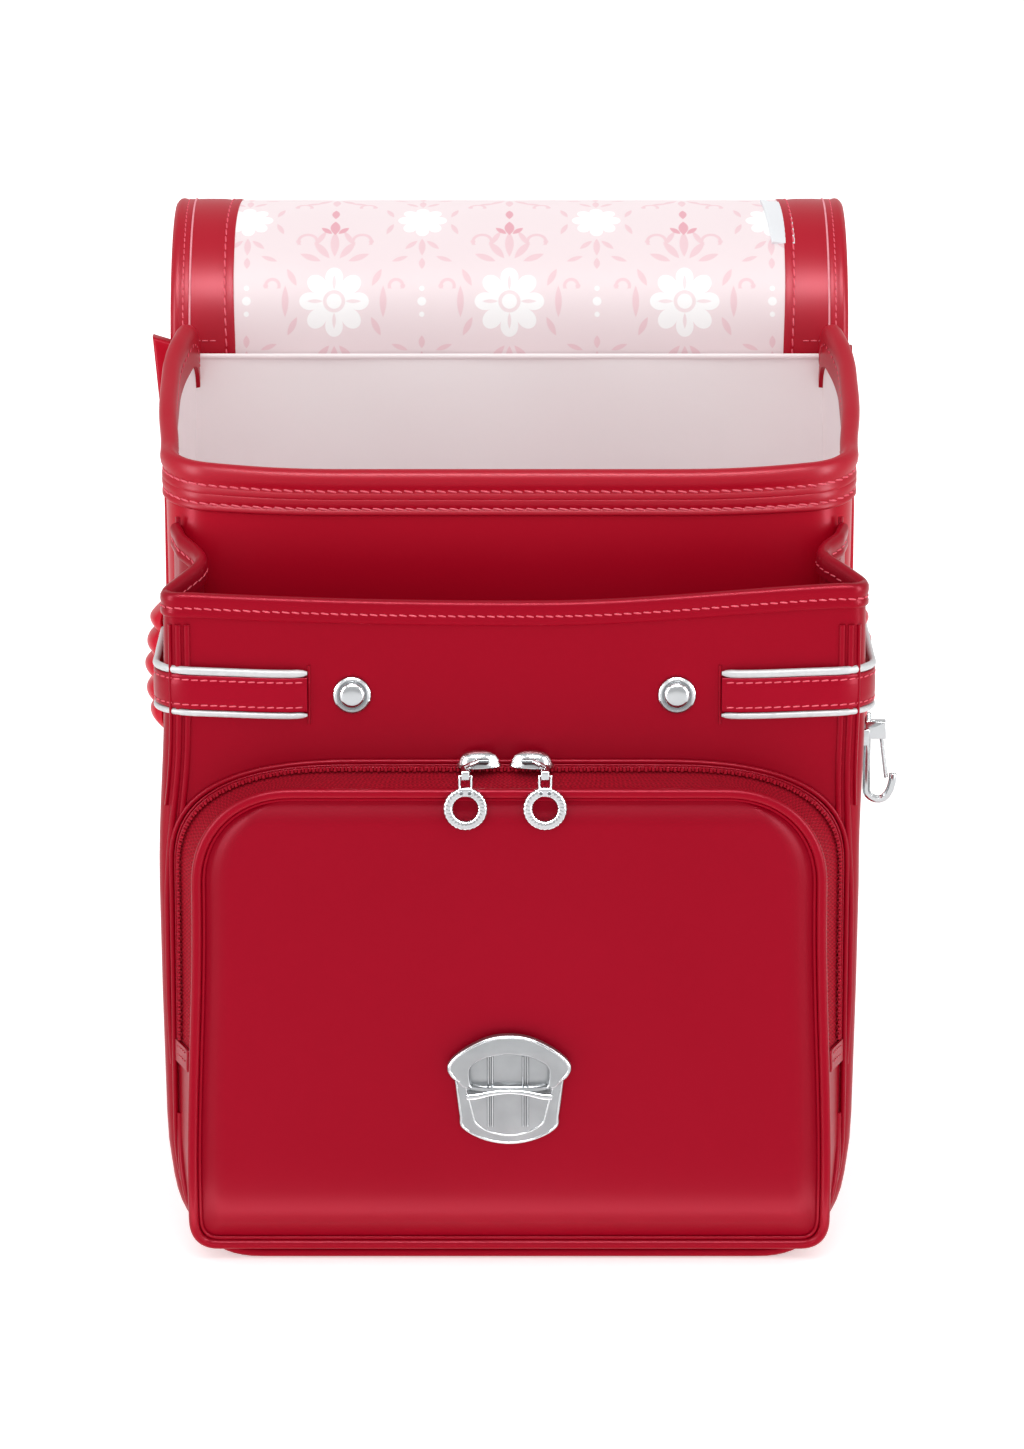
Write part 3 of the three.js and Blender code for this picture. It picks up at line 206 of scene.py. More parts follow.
def leather_finish(name, light, dark, rough=0.33, gloss=(1, 0.24, 0.33, 1)):
    """Smooth coated leather: a fine pebble, soft hand-worn patches and a rosy gloss."""
    finish = Finish(name, Specular_IOR_Level=0.22, Specular_Tint=gloss)
    patch = finish.noise(14.0, 3.0)
    pebble = finish.cells(1500.0, feature="SMOOTH_F1")
    fine = finish.noise(3200.0, 1.0)
    finish.feed(Base_Color=patch.blend(dark, light))
    finish.feed(Roughness=patch * 0.08 + (rough - 0.04) + pebble * 0.03)
    finish.bump(pebble * 0.7 + fine * 0.3 + finish.noise(30.0, 1.0) * 3.0, 0.12, 0.00012)
    return finish.material


red_leather = leather_finish("red_leather", srgb(154, 1, 28), srgb(149, 1, 25))
# Painted light: a lighter copy of the red leather, brighter than the pockets' copy to lift the shaded main wall
# and to stand in for light on the flap; the back panel and straps share it.
main_leather = leather_finish("main_leather", srgb(186, 3, 34), srgb(180, 2, 30))
# Painted highlight: a lighter copy of the red leather for the mouth band and the flap's borders and strips,
# brighter where light catches them, with a paler gloss tint.
band_leather = leather_finish(
    "band_leather", srgb(180, 3, 34), srgb(174, 2, 30), rough=0.38, gloss=(1, 0.62, 0.7, 1)
)


def placed(obj, material, slot, *nodes, body="bag"):
    """Gives a finished piece its material and its body, and hides the solids that it stands for; the slot is not
    used.
    """
    obj.data.materials.clear()
    obj.data.materials.append(material)
    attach(obj, body)
    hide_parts(*nodes)
    return obj


def active(obj):
    bpy.ops.object.select_all(action="DESELECT")
    obj.select_set(True)
    bpy.context.view_layer.objects.active = obj


def smooth(obj, degrees=40):
    active(obj)
    bpy.ops.object.shade_smooth_by_angle(angle=math.radians(degrees))


def modified(obj, kind, **settings):
    """Adds one modifier and applies it."""
    active(obj)
    modifier = obj.modifiers.new(kind.lower(), kind)
    for key, given in settings.items():
        setattr(modifier, key, given)
    bpy.ops.object.modifier_apply(modifier=modifier.name)
    return obj


MM = 0.001


def linked(name, data):
    """A new object in the scene for a mesh or a curve."""
    obj = bpy.data.objects.new(name, data)
    bpy.context.scene.collection.objects.link(obj)
    return obj


def mesh_piece(name, corners, faces, degrees=50):
    """A new object from corners in millimetres."""
    mesh = bpy.data.meshes.new(name)
    mesh.from_pydata([tuple(c) for c in np.asarray(corners, float) * MM], [], faces)
    mesh.update()
    obj = linked(name, mesh)
    smooth(obj, degrees)
    return obj


def mended(obj, merge=0.0, outwards=True):
    """Merges corners within a distance in metres and turns the faces outwards."""
    shape = bmesh.new()
    shape.from_mesh(obj.data)
    if merge:
        bmesh.ops.remove_doubles(shape, verts=shape.verts, dist=merge)
    if outwards:
        bmesh.ops.recalc_face_normals(shape, faces=shape.faces)
    shape.to_mesh(obj.data)
    shape.free()


def flat_map(obj, places):
    """A UV map that lays the piece out flat, with one place for each of its corners."""
    layer = obj.data.uv_layers.new(name="flat")
    for loop in obj.data.loops:
        layer.data[loop.index].uv = places[loop.vertex_index]


def sheet_piece(name, rows, thickness, inside, flat=None):
    """A leather or cloth sheet over rows of points, with its outer face turned away from a point."""
    rows = np.asarray(rows, float)
    count, width = rows.shape[:2]
    corners = rows.reshape(-1, 3)
    starts = [r * width + c for r in range(count - 1) for c in range(width - 1)]
    faces = [(a, a + 1, a + width + 1, a + width) for a in starts]
    away = 0.0
    for a, b, c, d in faces:
        normal = np.cross(corners[c] - corners[a], corners[d] - corners[b])
        away += normal @ (corners[a] - np.asarray(inside, float))
    if away < 0:
        faces = [face[::-1] for face in faces]
    obj = mesh_piece(name, corners, faces)
    mended(obj, 0.000001, outwards=False)
    if flat is not None:
        flat_map(obj, np.asarray(flat, float).reshape(-1, 2))
    modified(obj, "SOLIDIFY", thickness=thickness * MM, offset=-1.0, use_even_offset=True)
    smooth(obj, 50)
    return obj


def step(value, low, high):
    share = np.clip((np.asarray(value, float) - low) / (high - low), 0, 1)
    return share * share * (3 - 2 * share)


def squarish(share, square=2.6):
    """Width and height of a corner that is fuller than a circle, at a share of its turn."""
    angle = share * math.pi / 2
    return [max(turn, 0) ** (2 / square) for turn in (math.cos(angle), math.sin(angle))]


def u_outline(half, bottom, top, across, up, side=12, corner=12, base=12):
    """Down the left side, round squarish corners and up the right side, as x and z."""
    left = [(-half, top + (bottom + up - top) * i / side) for i in range(side)]
    flat = half - across
    for i in range(corner + 1):
        wide, high = squarish(i / corner)
        left.append((-flat - across * wide, bottom + up - up * high))
    middle = [(-flat + 2 * flat * i / base, bottom) for i in range(1, base)]
    return np.array(left + middle + [(-x, z) for x, z in reversed(left)])


def corner_across(inset, half):
    """How far a lower corner reaches in; the narrow U shapes keep a share of their width."""
    return max(32 - inset, 0.4 * half) if inset > 20 else 32 - inset


MAIN_HALF, MAIN_BACK, MAIN_CORNER = 126, 62, 16
MAIN_TURN = MAIN_CORNER - MAIN_BACK
MOUTH_FRONT, MOUTH_RISE = 282.5, 36


mouth_depths = [0, 0.14, 0.34, 0.58, 0.78, 0.88, 0.94, 0.975, 1]
mouth_rises = [0, 0.06, 0.3, 0.62, 0.9, 1, 0.94, 0.8, 0.6]
mouth_shares = np.linspace(-0.1, 1.1, 241)
mouth_line = np.interp(mouth_shares, mouth_depths, mouth_rises)
mouth_soft = np.convolve(mouth_line, np.hanning(15) / np.hanning(15).sum(), mode="same")


def mouth_top(y):
    share = (np.asarray(y) + MAIN_BACK) / (2 * MAIN_BACK)
    return MOUTH_FRONT + MOUTH_RISE * np.interp(share, mouth_shares, mouth_soft)


def mouth_bend(corners):
    """The mouth's front corners drawn back and up in a wide round, and its sides leaning outwards."""
    corners = np.array(corners, float)
    x, y, z = corners[..., 0], corners[..., 1], corners[..., 2]
    corner = np.clip((np.abs(x) - 60) / 66, 0, 1) ** 2.2 * step(-y, 4, 46)
    lean = 1.5 + 2.3 * step(y, -44, 4) - 5.2 * step(y, 20, 60)
    lean *= step(z, 235, 290) * step(np.abs(x), 92, 122)
    high = step(z, 236, 284)
    return np.stack([x + np.sign(x) * lean, y + 11 * high * corner, z + 2.6 * high * corner], axis=-1)


def main_rows(offset):
    """The gusset from the back to the front corner, then the front wall in narrowing U shapes."""
    stations = [(y, offset) for y in np.linspace(MAIN_BACK, MAIN_TURN, 26)]
    reach = MAIN_CORNER - offset
    for i in range(1, 9):
        angle = i / 8 * math.pi / 2
        stations.append((MAIN_TURN - reach * math.sin(angle), MAIN_CORNER - reach * math.cos(angle)))
    stations += [(offset - MAIN_BACK, inset) for inset in (20, 26, 34, 46, 60, 76, 92, 108, 120, 126)]
    rows = []
    for y, inset in stations:
        half, top = MAIN_HALF - inset, float(mouth_top(y)) - 4
        outline = u_outline(half, inset, top, corner_across(inset, half), max(50 - inset, 8))
        rows.append([(x, y, z) for x, z in outline])
    return mouth_bend(rows)


LEATHER, CLOTH = 2.0, 0.8
main_body = sheet_piece("main_body", main_rows(0.0), LEATHER, (0, 30, 160))
# The main body wears the lighter copy, whose painted light lifts its shaded front wall.
placed(main_body, main_leather, "leather", "main_gusset", "main_front_wall")


# Lining of the main compartment
# Thin coated cloth, pale pink, glued to the inside of the gusset, the front wall and the back wall.
# The back wall's lining ends in a light folded edge under the flap.
def cloth_finish(name, light, dark, weave=2600.0):
    finish = Finish(name, Specular_IOR_Level=0.3, Sheen_Weight=0.08)
    patch = finish.noise(11.0, 2.0)
    wave = {"Vector": finish.place, "Scale": weave, "Distortion": 0.6}
    threads = finish.place.node("ShaderNodeTexWave", wave, output=1)
    finish.feed(Base_Color=patch.blend(dark, light), Roughness=patch * 0.1 + 0.5)
    finish.bump(threads + finish.noise(26.0, 2.0) * 6.0, 0.1, 0.0001)
    return finish.material


lining_cloth = cloth_finish("lining_cloth", srgb(255, 246, 247), srgb(255, 240, 242))
# Painted light: a slightly lighter copy of the lining cloth for the back wall, lifting it out of the shade under
# the flap.
painted_light_back_cloth = cloth_finish("back_lining_cloth", srgb(255, 250, 250), srgb(255, 243, 245))
main_lining = sheet_piece("main_lining", main_rows(2.3), CLOTH, (0, 30, 160))
placed(main_lining, lining_cloth, "lining", "lining_gusset", "lining_front")

back_rows = []
for z in np.concatenate([np.linspace(5.3, 50, 12), np.linspace(60, 303.5, 30)]):
    share = min(max((z - 5.1) / 44.9, 0), 1)
    corner = (1 - (1 - share) ** 2.6) ** (1 / 2.6)
    half = 94 + 28.9 * corner - 1.3 * float(step(z, 235, 290))
    soft = 0.7 * step(z, 60, 200)
    row = []
    for x in np.linspace(-half, half, 49):
        wave = math.sin(x / 31) * math.sin(z / 47) + 0.5 * math.sin(x / 13 + z / 29)
        row.append((x, 60.9 - soft * wave, z))
    back_rows.append(row)
back_lining = sheet_piece("back_lining", back_rows, CLOTH, (0, 400, 160))
placed(back_lining, painted_light_back_cloth, "lining", "lining_back")


def ring_faces(rings, sides, closed=False, base=0, capped=False):
    """Faces between rings of corners that follow each other, with both ends closed if asked."""
    faces = []
    for r in range(rings if closed else rings - 1):
        here, there = base + r * sides, base + (r + 1) % rings * sides
        faces += [(here + k, here + (k + 1) % sides, there + (k + 1) % sides, there + k) for k in range(sides)]
    if capped:
        last = base + (rings - 1) * sides
        faces += [tuple(base + k for k in reversed(range(sides))), tuple(last + k for k in range(sides))]
    return faces


def swept(name, origins, outs, ups, section, closed=False):
    """A solid with one section carried along a path; outs and ups are the section's directions."""
    origins, outs, ups = (np.asarray(a, float) for a in (origins, outs, ups))
    count, width = len(origins), len(section)
    rings = np.stack([origins + outs * a + ups * b for a, b in section], axis=1)
    faces = ring_faces(count, width, closed)
    if not closed:
        faces += [tuple(range(width)), tuple(range((count - 1) * width, count * width))]
    obj = mesh_piece(name, rings.reshape(-1, 3), faces)
    mended(obj)
    smooth(obj, 50)
    return obj


def oval(wide, high, sides=12):
    turns = [k / sides * 2 * math.pi for k in range(sides)]
    return [(wide * math.cos(turn), high * math.sin(turn)) for turn in turns]


def frames_of(path, normal_hint, closed=False):
    """Directions across and along the normal of a path, from a rough direction that faces out."""
    path = np.asarray(path, float)
    if closed:
        along = np.roll(path, -1, 0) - np.roll(path, 1, 0)
    else:
        along = np.gradient(path, axis=0)
    along /= np.linalg.norm(along, axis=1)[:, None]
    hint = np.broadcast_to(np.asarray(normal_hint, float), path.shape)
    normals = hint - along * np.sum(hint * along, axis=1)[:, None]
    normals /= np.linalg.norm(normals, axis=1)[:, None]
    return np.cross(along, normals), normals


edge_path = [(x, 60.5, 303.4) for x in np.linspace(-121.4, 121.4, 41)]
edge_cloth = cloth_finish("edge_cloth", srgb(255, 246, 247), srgb(252, 240, 242))
across, out = frames_of(edge_path, (0, 0, 1))
placed(swept("back_lining_edge", edge_path, across, out, oval(0.9, 1.1)), edge_cloth, "lining")


# Mouth band
# One strip of the same leather folded over the mouth and sewn with two rows of bright thread: a soft
# rolled edge on top, a puffed strip between the rows and a turned edge below.
BAND_LINE = 1.55


def mouth_frames():
    """The middle line of the band from the back round the front, and its outward directions."""
    corner, turn = MAIN_CORNER - BAND_LINE, MAIN_HALF - MAIN_CORNER
    left = [(BAND_LINE - MAIN_HALF, y, -1, 0) for y in np.linspace(MAIN_BACK, MAIN_TURN, 46)]
    for i in range(1, 10):
        c, s = math.cos(i / 10 * math.pi / 2), math.sin(i / 10 * math.pi / 2)
        left.append((-turn - corner * c, MAIN_TURN - corner * s, -c, -s))
    front = [(x, BAND_LINE - MAIN_BACK, 0, -1) for x in np.linspace(-turn, turn, 45)]
    rows = left + front + [(-x, y, -ox, oy) for x, y, ox, oy in reversed(left)]
    origins = np.array([(x, y, mouth_top(y)) for x, y, _, _ in rows])
    return origins, np.array([(ox, oy, 0) for _, _, ox, oy in rows], float)


upright = np.array((0.0, 0.0, 1.0))
band_section = [
    (-1.9, -16.6), (-3.1, -16.4), (-3.2, -12), (-3.0, -9), (-2.9, -8), (-3.2, -6.6), (-3.35, -4), (-2.9, -1.8),
    (-1.7, -0.5), (0, 0), (1.7, -0.4), (2.95, -1.7), (3.45, -3.7), (3.2, -5.7), (2.55, -7.1),
    (2.2, -8), (2.55, -8.9),
    (2.95, -9.8), (2.95, -10.6), (2.75, -11), (2.95, -11.4), (3.0, -12.6), (2.7, -13.8),
    (2.3, -14.5), (2.65, -15.2),
    (3.0, -15.9), (2.95, -16.6), (2.5, -17), (1.7, -16.9),
]
band_path, band_out = mouth_frames()
band_up = np.broadcast_to(upright, band_path.shape)
mouth_band = swept("mouth_band_leather", band_path, band_out, band_up, band_section)
for corner in mouth_band.data.vertices:
    corner.co = Vector(mouth_bend([c / MM for c in corner.co]) * MM)
# The band wears the lighter copy with its painted highlight.
placed(mouth_band, band_leather, "leather", "mouth_band")

thread_finish = Finish("bright_thread", Roughness=0.55, Specular_IOR_Level=0.3)
thread_shade = thread_finish.noise(900.0, 2.0)
thread_finish.feed(Base_Color=thread_shade.blend(srgb(214, 52, 78), srgb(236, 88, 108)))
thread_finish.bump(thread_finish.noise(5200.0, 1.0), 0.35, 0.0001)
bright_thread = thread_finish.material


def reach_along(path):
    """How far along a path each of its points lies."""
    return np.concatenate([[0], np.cumsum(np.linalg.norm(np.diff(path, axis=0), axis=1))])


def point_at(at, reach, path):
    return np.array([np.interp(at, reach, path[:, k]) for k in range(3)])


stitch_rings = [(-0.5, 0.35), (-0.42, 0.85), (0.0, 1.0), (0.42, 0.85), (0.5, 0.35)]


def stitch_row(path, normals, pitch=4.0, length=3.3, wide=0.42, high=0.34, tilt=9.0, start=0.5):
    """The corners and faces of one row of stitches that lie along a path on a surface."""
    path, normals = np.asarray(path, float), np.asarray(normals, float)
    reach = reach_along(path)
    sides = [(math.cos(a), math.sin(a)) for a in np.arange(6) / 6 * 2 * math.pi]
    lean, cross = math.cos(math.radians(tilt)), math.sin(math.radians(tilt))
    corners, faces = [], []
    for i in range(max(int((reach[-1] - pitch * start) / pitch), 1)):
        at = (i + start) * pitch
        middle, normal = point_at(at, reach, path), point_at(at, reach, normals)
        normal /= np.linalg.norm(normal)
        along = point_at(at + 0.4 * length, reach, path) - point_at(at - 0.4 * length, reach, path)
        along -= normal * (along @ normal)
        along /= np.linalg.norm(along)
        across = np.cross(normal, along)
        along, across = along * lean + across * cross, across * lean - along * cross
        faces += ring_faces(len(stitch_rings), len(sides), base=len(corners), capped=True)
        for share, girth in stitch_rings:
            for c, s in sides:
                edge = across * c * wide * girth + normal * s * high * girth
                corners.append(middle + along * share * length + edge)
    return corners, faces


def stitch_piece(name, *rows):
    corners, faces = [], []
    for row_corners, row_faces in rows:
        base = len(corners)
        corners += row_corners
        faces += [tuple(base + i for i in face) for face in row_faces]
    obj = mesh_piece(name, corners, faces, 60)
    return placed(obj, bright_thread, "leather")


stitch_piece(
    "mouth_stitches",
    stitch_row(mouth_bend(band_path + band_out * 2.4 - upright * 8.0), band_out, tilt=-11),
    stitch_row(mouth_bend(band_path + band_out * 2.5 - upright * 14.5), band_out, tilt=-11, start=0.9),
    stitch_row(mouth_bend(band_path - band_out * 3.05 - upright * 8.0), -band_out, tilt=11, wide=0.3, high=0.25),
)


# Piping beside the main front wall
# A thin covered cord sewn into the seam that joins the gusset to the front wall, on each side.
def bead(name, path, hint, wide, high, material=None, slot="leather", nodes=(), closed=False, sides=10):
    across, out = frames_of(path, hint, closed)
    obj = swept(name, path, across, out, oval(wide, high, sides), closed)
    return placed(obj, material or red_leather, slot, *nodes)


SIDES = (("left", -1), ("right", 1))
for word, side in SIDES:
    seam_y = MAIN_TURN - 15.6 * math.sin(math.acos(11.6 / 15.6))
    seam = [(side * 121.6, seam_y, z) for z in np.linspace(264, 60, 30)]
    bead("main_seam_piping_" + word, seam, (side * 0.7, -0.7, 0), 1.0, 0.9)


# Second pocket
# Softer leather, 1.6 mm, with a side that folds inwards like an accordion when the pocket is flat.
# The gusset and the front are sewn together along a double ridge near each front corner.
second_depths = [0, 0.2, 0.38, 0.5, 0.62, 0.8, 0.94, 1]
second_folds = [0, 0.4, 0.84, 1, 0.86, 0.42, 0.08, 0]
fold_line = np.interp(np.linspace(0, 1, 101), second_depths, second_folds)
fold_soft = np.convolve(np.pad(fold_line, 6, mode="edge"), np.hanning(13) / np.hanning(13).sum(), mode="valid")


SECOND_HALF, SECOND_BACK, SECOND_TURN, SECOND_CORNER = 129, -57.0, -101, 6
SECOND_FRONT = SECOND_TURN - SECOND_CORNER
SECOND_TOP, SECOND_SAG, HEM_COVER, LEAN = 246.8, 3, 2.3, 1.9


def second_shift(z):
    """The pocket's upper part leans to the right."""
    return LEAN * float(step(z, 146.3, 207.2))


def second_narrow(x, z, share=1.0):
    """The pocket's half width falls off towards its mouth and, more, towards its bottom."""
    less = np.interp(z, [0, 12, 30, 45, 98, 140, 200, 247], [1.0, 2.4, 3.6, 3.0, 2.0, 1.6, 2.3, 2.8])
    return float(x * (1 - less / SECOND_HALF * float(step(share, 0.1, 0.8))))


def second_place(share):
    """Depth, half width, height and inward fold of the pocket's side at a share of its way forward."""
    y = SECOND_BACK + (SECOND_TURN - SECOND_BACK) * share
    half = MAIN_HALF + 3 * float(step(share, 0.1, 0.8)) - 2.5 * (1 - min(share / 0.2, 1))
    fold = 13 * float(np.interp(share, np.linspace(0, 1, 101), fold_soft))
    return y, half, SECOND_TOP + 16 * (1 - max(share, 0)), fold


def second_rows():
    """The side from the back to the front corner, then the front in narrowing U shapes."""
    rows = []
    for share in np.linspace(-0.14, 1, 28):
        y, half, top, fold = second_place(share)
        bottom = SECOND_HALF - half if share < 0.8 else 0.0
        row = []
        for x, z in u_outline(half, bottom, top - HEM_COVER, 32, 50, side=20):
            inward = fold * float(step(z, 125, SECOND_TOP - SECOND_SAG)) if abs(x) > half - 0.5 else 0.0
            x = second_narrow(x, z, share)
            row.append((x - math.copysign(inward, x) + second_shift(z) * max(share, 0), y, z))
        rows.append(row)
    insets = []
    for angle in np.linspace(0.2, math.pi / 2, 6):
        insets.append((SECOND_CORNER * (1 - math.cos(angle)), SECOND_TURN - SECOND_CORNER * math.sin(angle)))
    insets += [(inset, SECOND_FRONT) for inset in (8, 11, 15, 22, 34, 50, 70, 90, 108, 122, 129)]
    for inset, y in insets:
        half = SECOND_HALF - inset
        top = SECOND_TOP - SECOND_SAG + SECOND_SAG * (half / 117) ** 2 - HEM_COVER
        across, up = corner_across(inset, half), max(50 - inset, 8)
        row = []
        for x, z in u_outline(half, inset * 0.6, SECOND_TOP, across, up, side=20):
            z = z if z < 60 else 60 + (z - 60) * (top - 60) / (SECOND_TOP - 60)
            row.append((second_narrow(x, z) + second_shift(z), y, z))
        rows.append(row)
    return rows


second_body = sheet_piece("second_pocket_body", second_rows(), 1.6, (0, -70, 130))
placed(second_body, red_leather, "leather", "second_gusset", "second_front_wall")


def hem_frames():
    """The middle line of the pocket's mouth with its heights, and its outward directions."""
    plan, tops, leans = [], [], []
    for share in np.linspace(0.03, 1, 44):
        y, half, top, fold = second_place(share)
        plan.append((second_narrow(-half, 247, share) + fold, y))
        tops.append(top)
        leans.append(LEAN * share)
    for i in range(1, 8):
        angle = i / 7 * math.pi / 2
        plan.append((-119.9 - SECOND_CORNER * math.cos(angle), SECOND_TURN - SECOND_CORNER * math.sin(angle)))
        tops.append(SECOND_TOP)
        leans.append(LEAN)
    right = [(-x, y) for x, y in reversed(plan)]
    across = np.linspace(-116, 116, 51)
    right_tops = [top + 3.4 * min(share / 30, 1) for share, top in enumerate(tops)]
    sag = [SECOND_SAG * ((x / 116) ** 2 - 1) + 3.4 * float(step(x, 10, 116)) for x in across]
    tops = tops + [SECOND_TOP + drop for drop in sag] + right_tops[::-1]
    leans = np.array(leans + [LEAN] * 51 + leans[::-1])
    plan = np.array(plan + [(x, SECOND_FRONT) for x in across] + right)
    along = np.gradient(plan, axis=0)
    along /= np.linalg.norm(along, axis=1)[:, None]
    outs = np.stack([along[:, 1], -along[:, 0], 0 * leans], axis=1)
    middle = plan - outs[:, :2] * 0.8
    return np.stack([middle[:, 0] + leans, middle[:, 1], tops], axis=1), outs


hem_section = [
    (-1.2, -8.6), (-2.0, -8.4), (-2.1, -5), (-2.1, -2.2), (-1.5, -0.6), (0, 0), (1.4, -0.5),
    (2.05, -1.7), (2.1, -3.4),
    (1.8, -4.9), (1.6, -5.6), (1.8, -6.3), (2.1, -7.2), (2.0, -8.5), (1.5, -9), (0.9, -8.9),
]
hem_path, hem_out = hem_frames()
hem_up = np.broadcast_to(upright, hem_path.shape)
second_hem = swept("second_hem_leather", hem_path, hem_out, hem_up, hem_section)
placed(second_hem, red_leather, "leather", "second_hem")
hem_stitch = dict(pitch=3.5, length=2.8)
stitch_piece(
    "second_hem_stitches",
    stitch_row(hem_path + hem_out * 1.75 - upright * 5.6, hem_out, wide=0.34, high=0.28, tilt=-8, **hem_stitch),
    stitch_row(hem_path - hem_out * 2.1 - upright * 5.6, -hem_out, wide=0.3, high=0.25, tilt=8, **hem_stitch),
)

second_seams = [("inner", 117.6, 70, 1.25), ("outer", 120.8, 70, 1.25), ("sewn", 123.6, 168, 0.7)]
for word, side in SIDES:
    for label, place, lowest, wide in second_seams:
        line = []
        for z in np.linspace(235, lowest, 44):
            x = place + 3.4 * float(1 - step(z, 128, 190)) - 2.2 * float(1 - step(z, 40, 100))
            past = max((x - second_narrow(SECOND_HALF, z) + SECOND_CORNER) / SECOND_CORNER, 0)
            y = SECOND_TURN - SECOND_CORNER * math.sqrt(max(1 - past ** 2, 0))
            line.append((side * x + second_shift(z), y, z))
        bead("second_seam_" + label + "_" + word, line, (side * 0.3, -1, 0), wide, 1.15)


# Lower piping
# A covered cord sewn along the foot of the zip pocket's front; its ends run up under the pocket's sides.
lower_line = u_outline(120.2, 1.85, 52, 30.5, 44.5, side=6, corner=18, base=30)
lower_cord = [(x, -119.6 + 11.0 * float(step(z, 6, 48)), z) for x, z in lower_line]
bead("lower_piping", lower_cord, (0, -1, -0.4), 1.75, 1.75, sides=14)


# Zip pocket
# A shallow pocket on the front: a leather gusset below, a woven zipper tape above, fine cords round
# its foot and a thick covered piping round its crowned front.
zip_base = dict(half=121.2, top=183.5, bottom=3.4, across=72, down=38, lower=32, up=46, square=2.7)
zip_front = dict(half=112.8, top=179.0, bottom=5.2, across=36, down=35, lower=10, up=12, square=2.2)
ZIP_BACK, ZIP_DEPTH, ZIP_END = -107.3, 20.0, 72.5


def zip_size(share, inset=0.0):
    size = {key: zip_base[key] + (zip_front[key] - zip_base[key]) * share for key in zip_base}
    return {key: size[key] + (inset if key == "bottom" else 0 if key == "square" else -inset) for key in size}


def zip_flare(z):
    return 3 * (1 - float(step(z, 29, 137.6)))


def zip_point(x, z, share):
    """A point of the pocket's side at a share of its depth; it flares and its front foot tucks in."""
    tuck = 7.5 * max(0.0, 1 - (z - 5) / 36) ** 2
    return (x + math.copysign(share * zip_flare(z), x) if x else 0.0, ZIP_BACK + (tuck - ZIP_DEPTH) * share, z)


def zip_lower(share, inset=0.0):
    size = zip_size(share, inset)
    half, bottom, lower, up = size["half"], size["bottom"], size["lower"], size["up"]
    outline = u_outline(half, bottom, ZIP_END, lower, up, side=8, corner=16, base=24)
    return [zip_point(x, z, share) for x, z in outline]


def zip_upper(share, inset=0.0, end=ZIP_END, side=16, corner=20, base=20):
    size = zip_size(share, inset)
    half, top, across, down = size["half"], size["top"], size["across"], size["down"]
    left = [(-half, end + (top - down - end) * i / side) for i in range(side)]
    flat = half - across
    for i in range(corner + 1):
        wide, high = squarish(i / corner, size["square"])
        left.append((-flat - across * wide, top - down + down * high))
    middle = [(-flat + 2 * flat * i / base, top) for i in range(1, base)]
    return [zip_point(x, z, share) for x, z in left + middle + [(-x, z) for x, z in reversed(left)]]


def zip_round(share, inset=0.0):
    return zip_upper(share, inset) + zip_lower(share, inset)[1:-1][::-1]


shares = np.linspace(0, 1, 9)
zip_gusset = sheet_piece("zip_gusset_leather", [zip_lower(s) for s in shares], 1.1, (0, -117, 60))
placed(zip_gusset, red_leather, "leather", "zip_gusset")

TAPE_MAP, ROSY = 600.0, (1, 0.3, 0.38, 1)
tape_rows = [zip_upper(s, 0.0, 72.8) for s in shares]
tape_flat = [[(r / TAPE_MAP, s * ZIP_DEPTH / TAPE_MAP) for r in reach_along(tape_rows[4])] for s in shares]
tape_finish = Finish("woven_tape", Roughness=0.72, Specular_IOR_Level=0.12, Specular_Tint=ROSY)
split = tape_finish.flat.node("ShaderNodeSeparateXYZ", {"Vector": tape_finish.flat})
run, rise = split * TAPE_MAP, split.output(1) * TAPE_MAP
chevron = ((run / 1.5 + ((rise / 2.2).part() - 0.5).size() * 1.2).part() - 0.5).size() * 2.0
tape_finish.feed(Base_Color=chevron.blend(srgb(128, 1, 20), srgb(176, 8, 36)))
tape_finish.bump(chevron, 0.6, 0.0004)
zipper_tape = sheet_piece("zipper_tape_woven", tape_rows, 1.1, (0, -117, 100), flat=tape_flat)
placed(zipper_tape, tape_finish.material, "tape", "zipper_tape")

TOOTH_PITCH = 1.3
tooth_slices = [(-1.3, 0.35), (-0.8, 0.48), (0.8, 0.48), (1.3, 0.35)]
chain_line = np.array(zip_upper(0.3, -1.1, 81))
chain_reach = reach_along(chain_line)
tooth_corners, tooth_faces = [], []
for i in range(int(chain_reach[-1] / TOOTH_PITCH)):
    at = (i + 0.5) * TOOTH_PITCH
    middle = point_at(at, chain_reach, chain_line)
    along = point_at(at + 1, chain_reach, chain_line) - middle
    along /= np.linalg.norm(along)
    deep = np.array((0.0, -1.0, 0.0))
    outward = np.cross(along, deep)
    outward *= math.copysign(1, outward @ np.array((middle[0], 0, middle[2] - 80)))
    lean = 0.5 if i % 2 else -0.5
    tooth_faces += ring_faces(4, 6, base=len(tooth_corners), capped=True)
    for d, w in tooth_slices:
        for a, b in ((-w, -0.5), (w, -0.5), (w, 0.35), (w * 0.5, 0.55), (-w * 0.5, 0.55), (-w, 0.35)):
            tooth_corners.append(middle + deep * (d + lean) + along * a + outward * b)
tooth_finish = Finish("moulded_teeth", Roughness=0.4, Specular_IOR_Level=0.4, Specular_Tint=ROSY)
tooth_finish.feed(Base_Color=tooth_finish.noise(700.0).blend(srgb(162, 8, 34), srgb(186, 18, 46)))
teeth = mesh_piece("zipper_teeth", tooth_corners, tooth_faces)
mended(teeth)
placed(teeth, tooth_finish.material, "tape", "zipper_chain")


def outward_hint(path):
    """Rough directions that face away from the middle of the pocket."""
    return [(p[0], -60, p[2] - 90) for p in path]


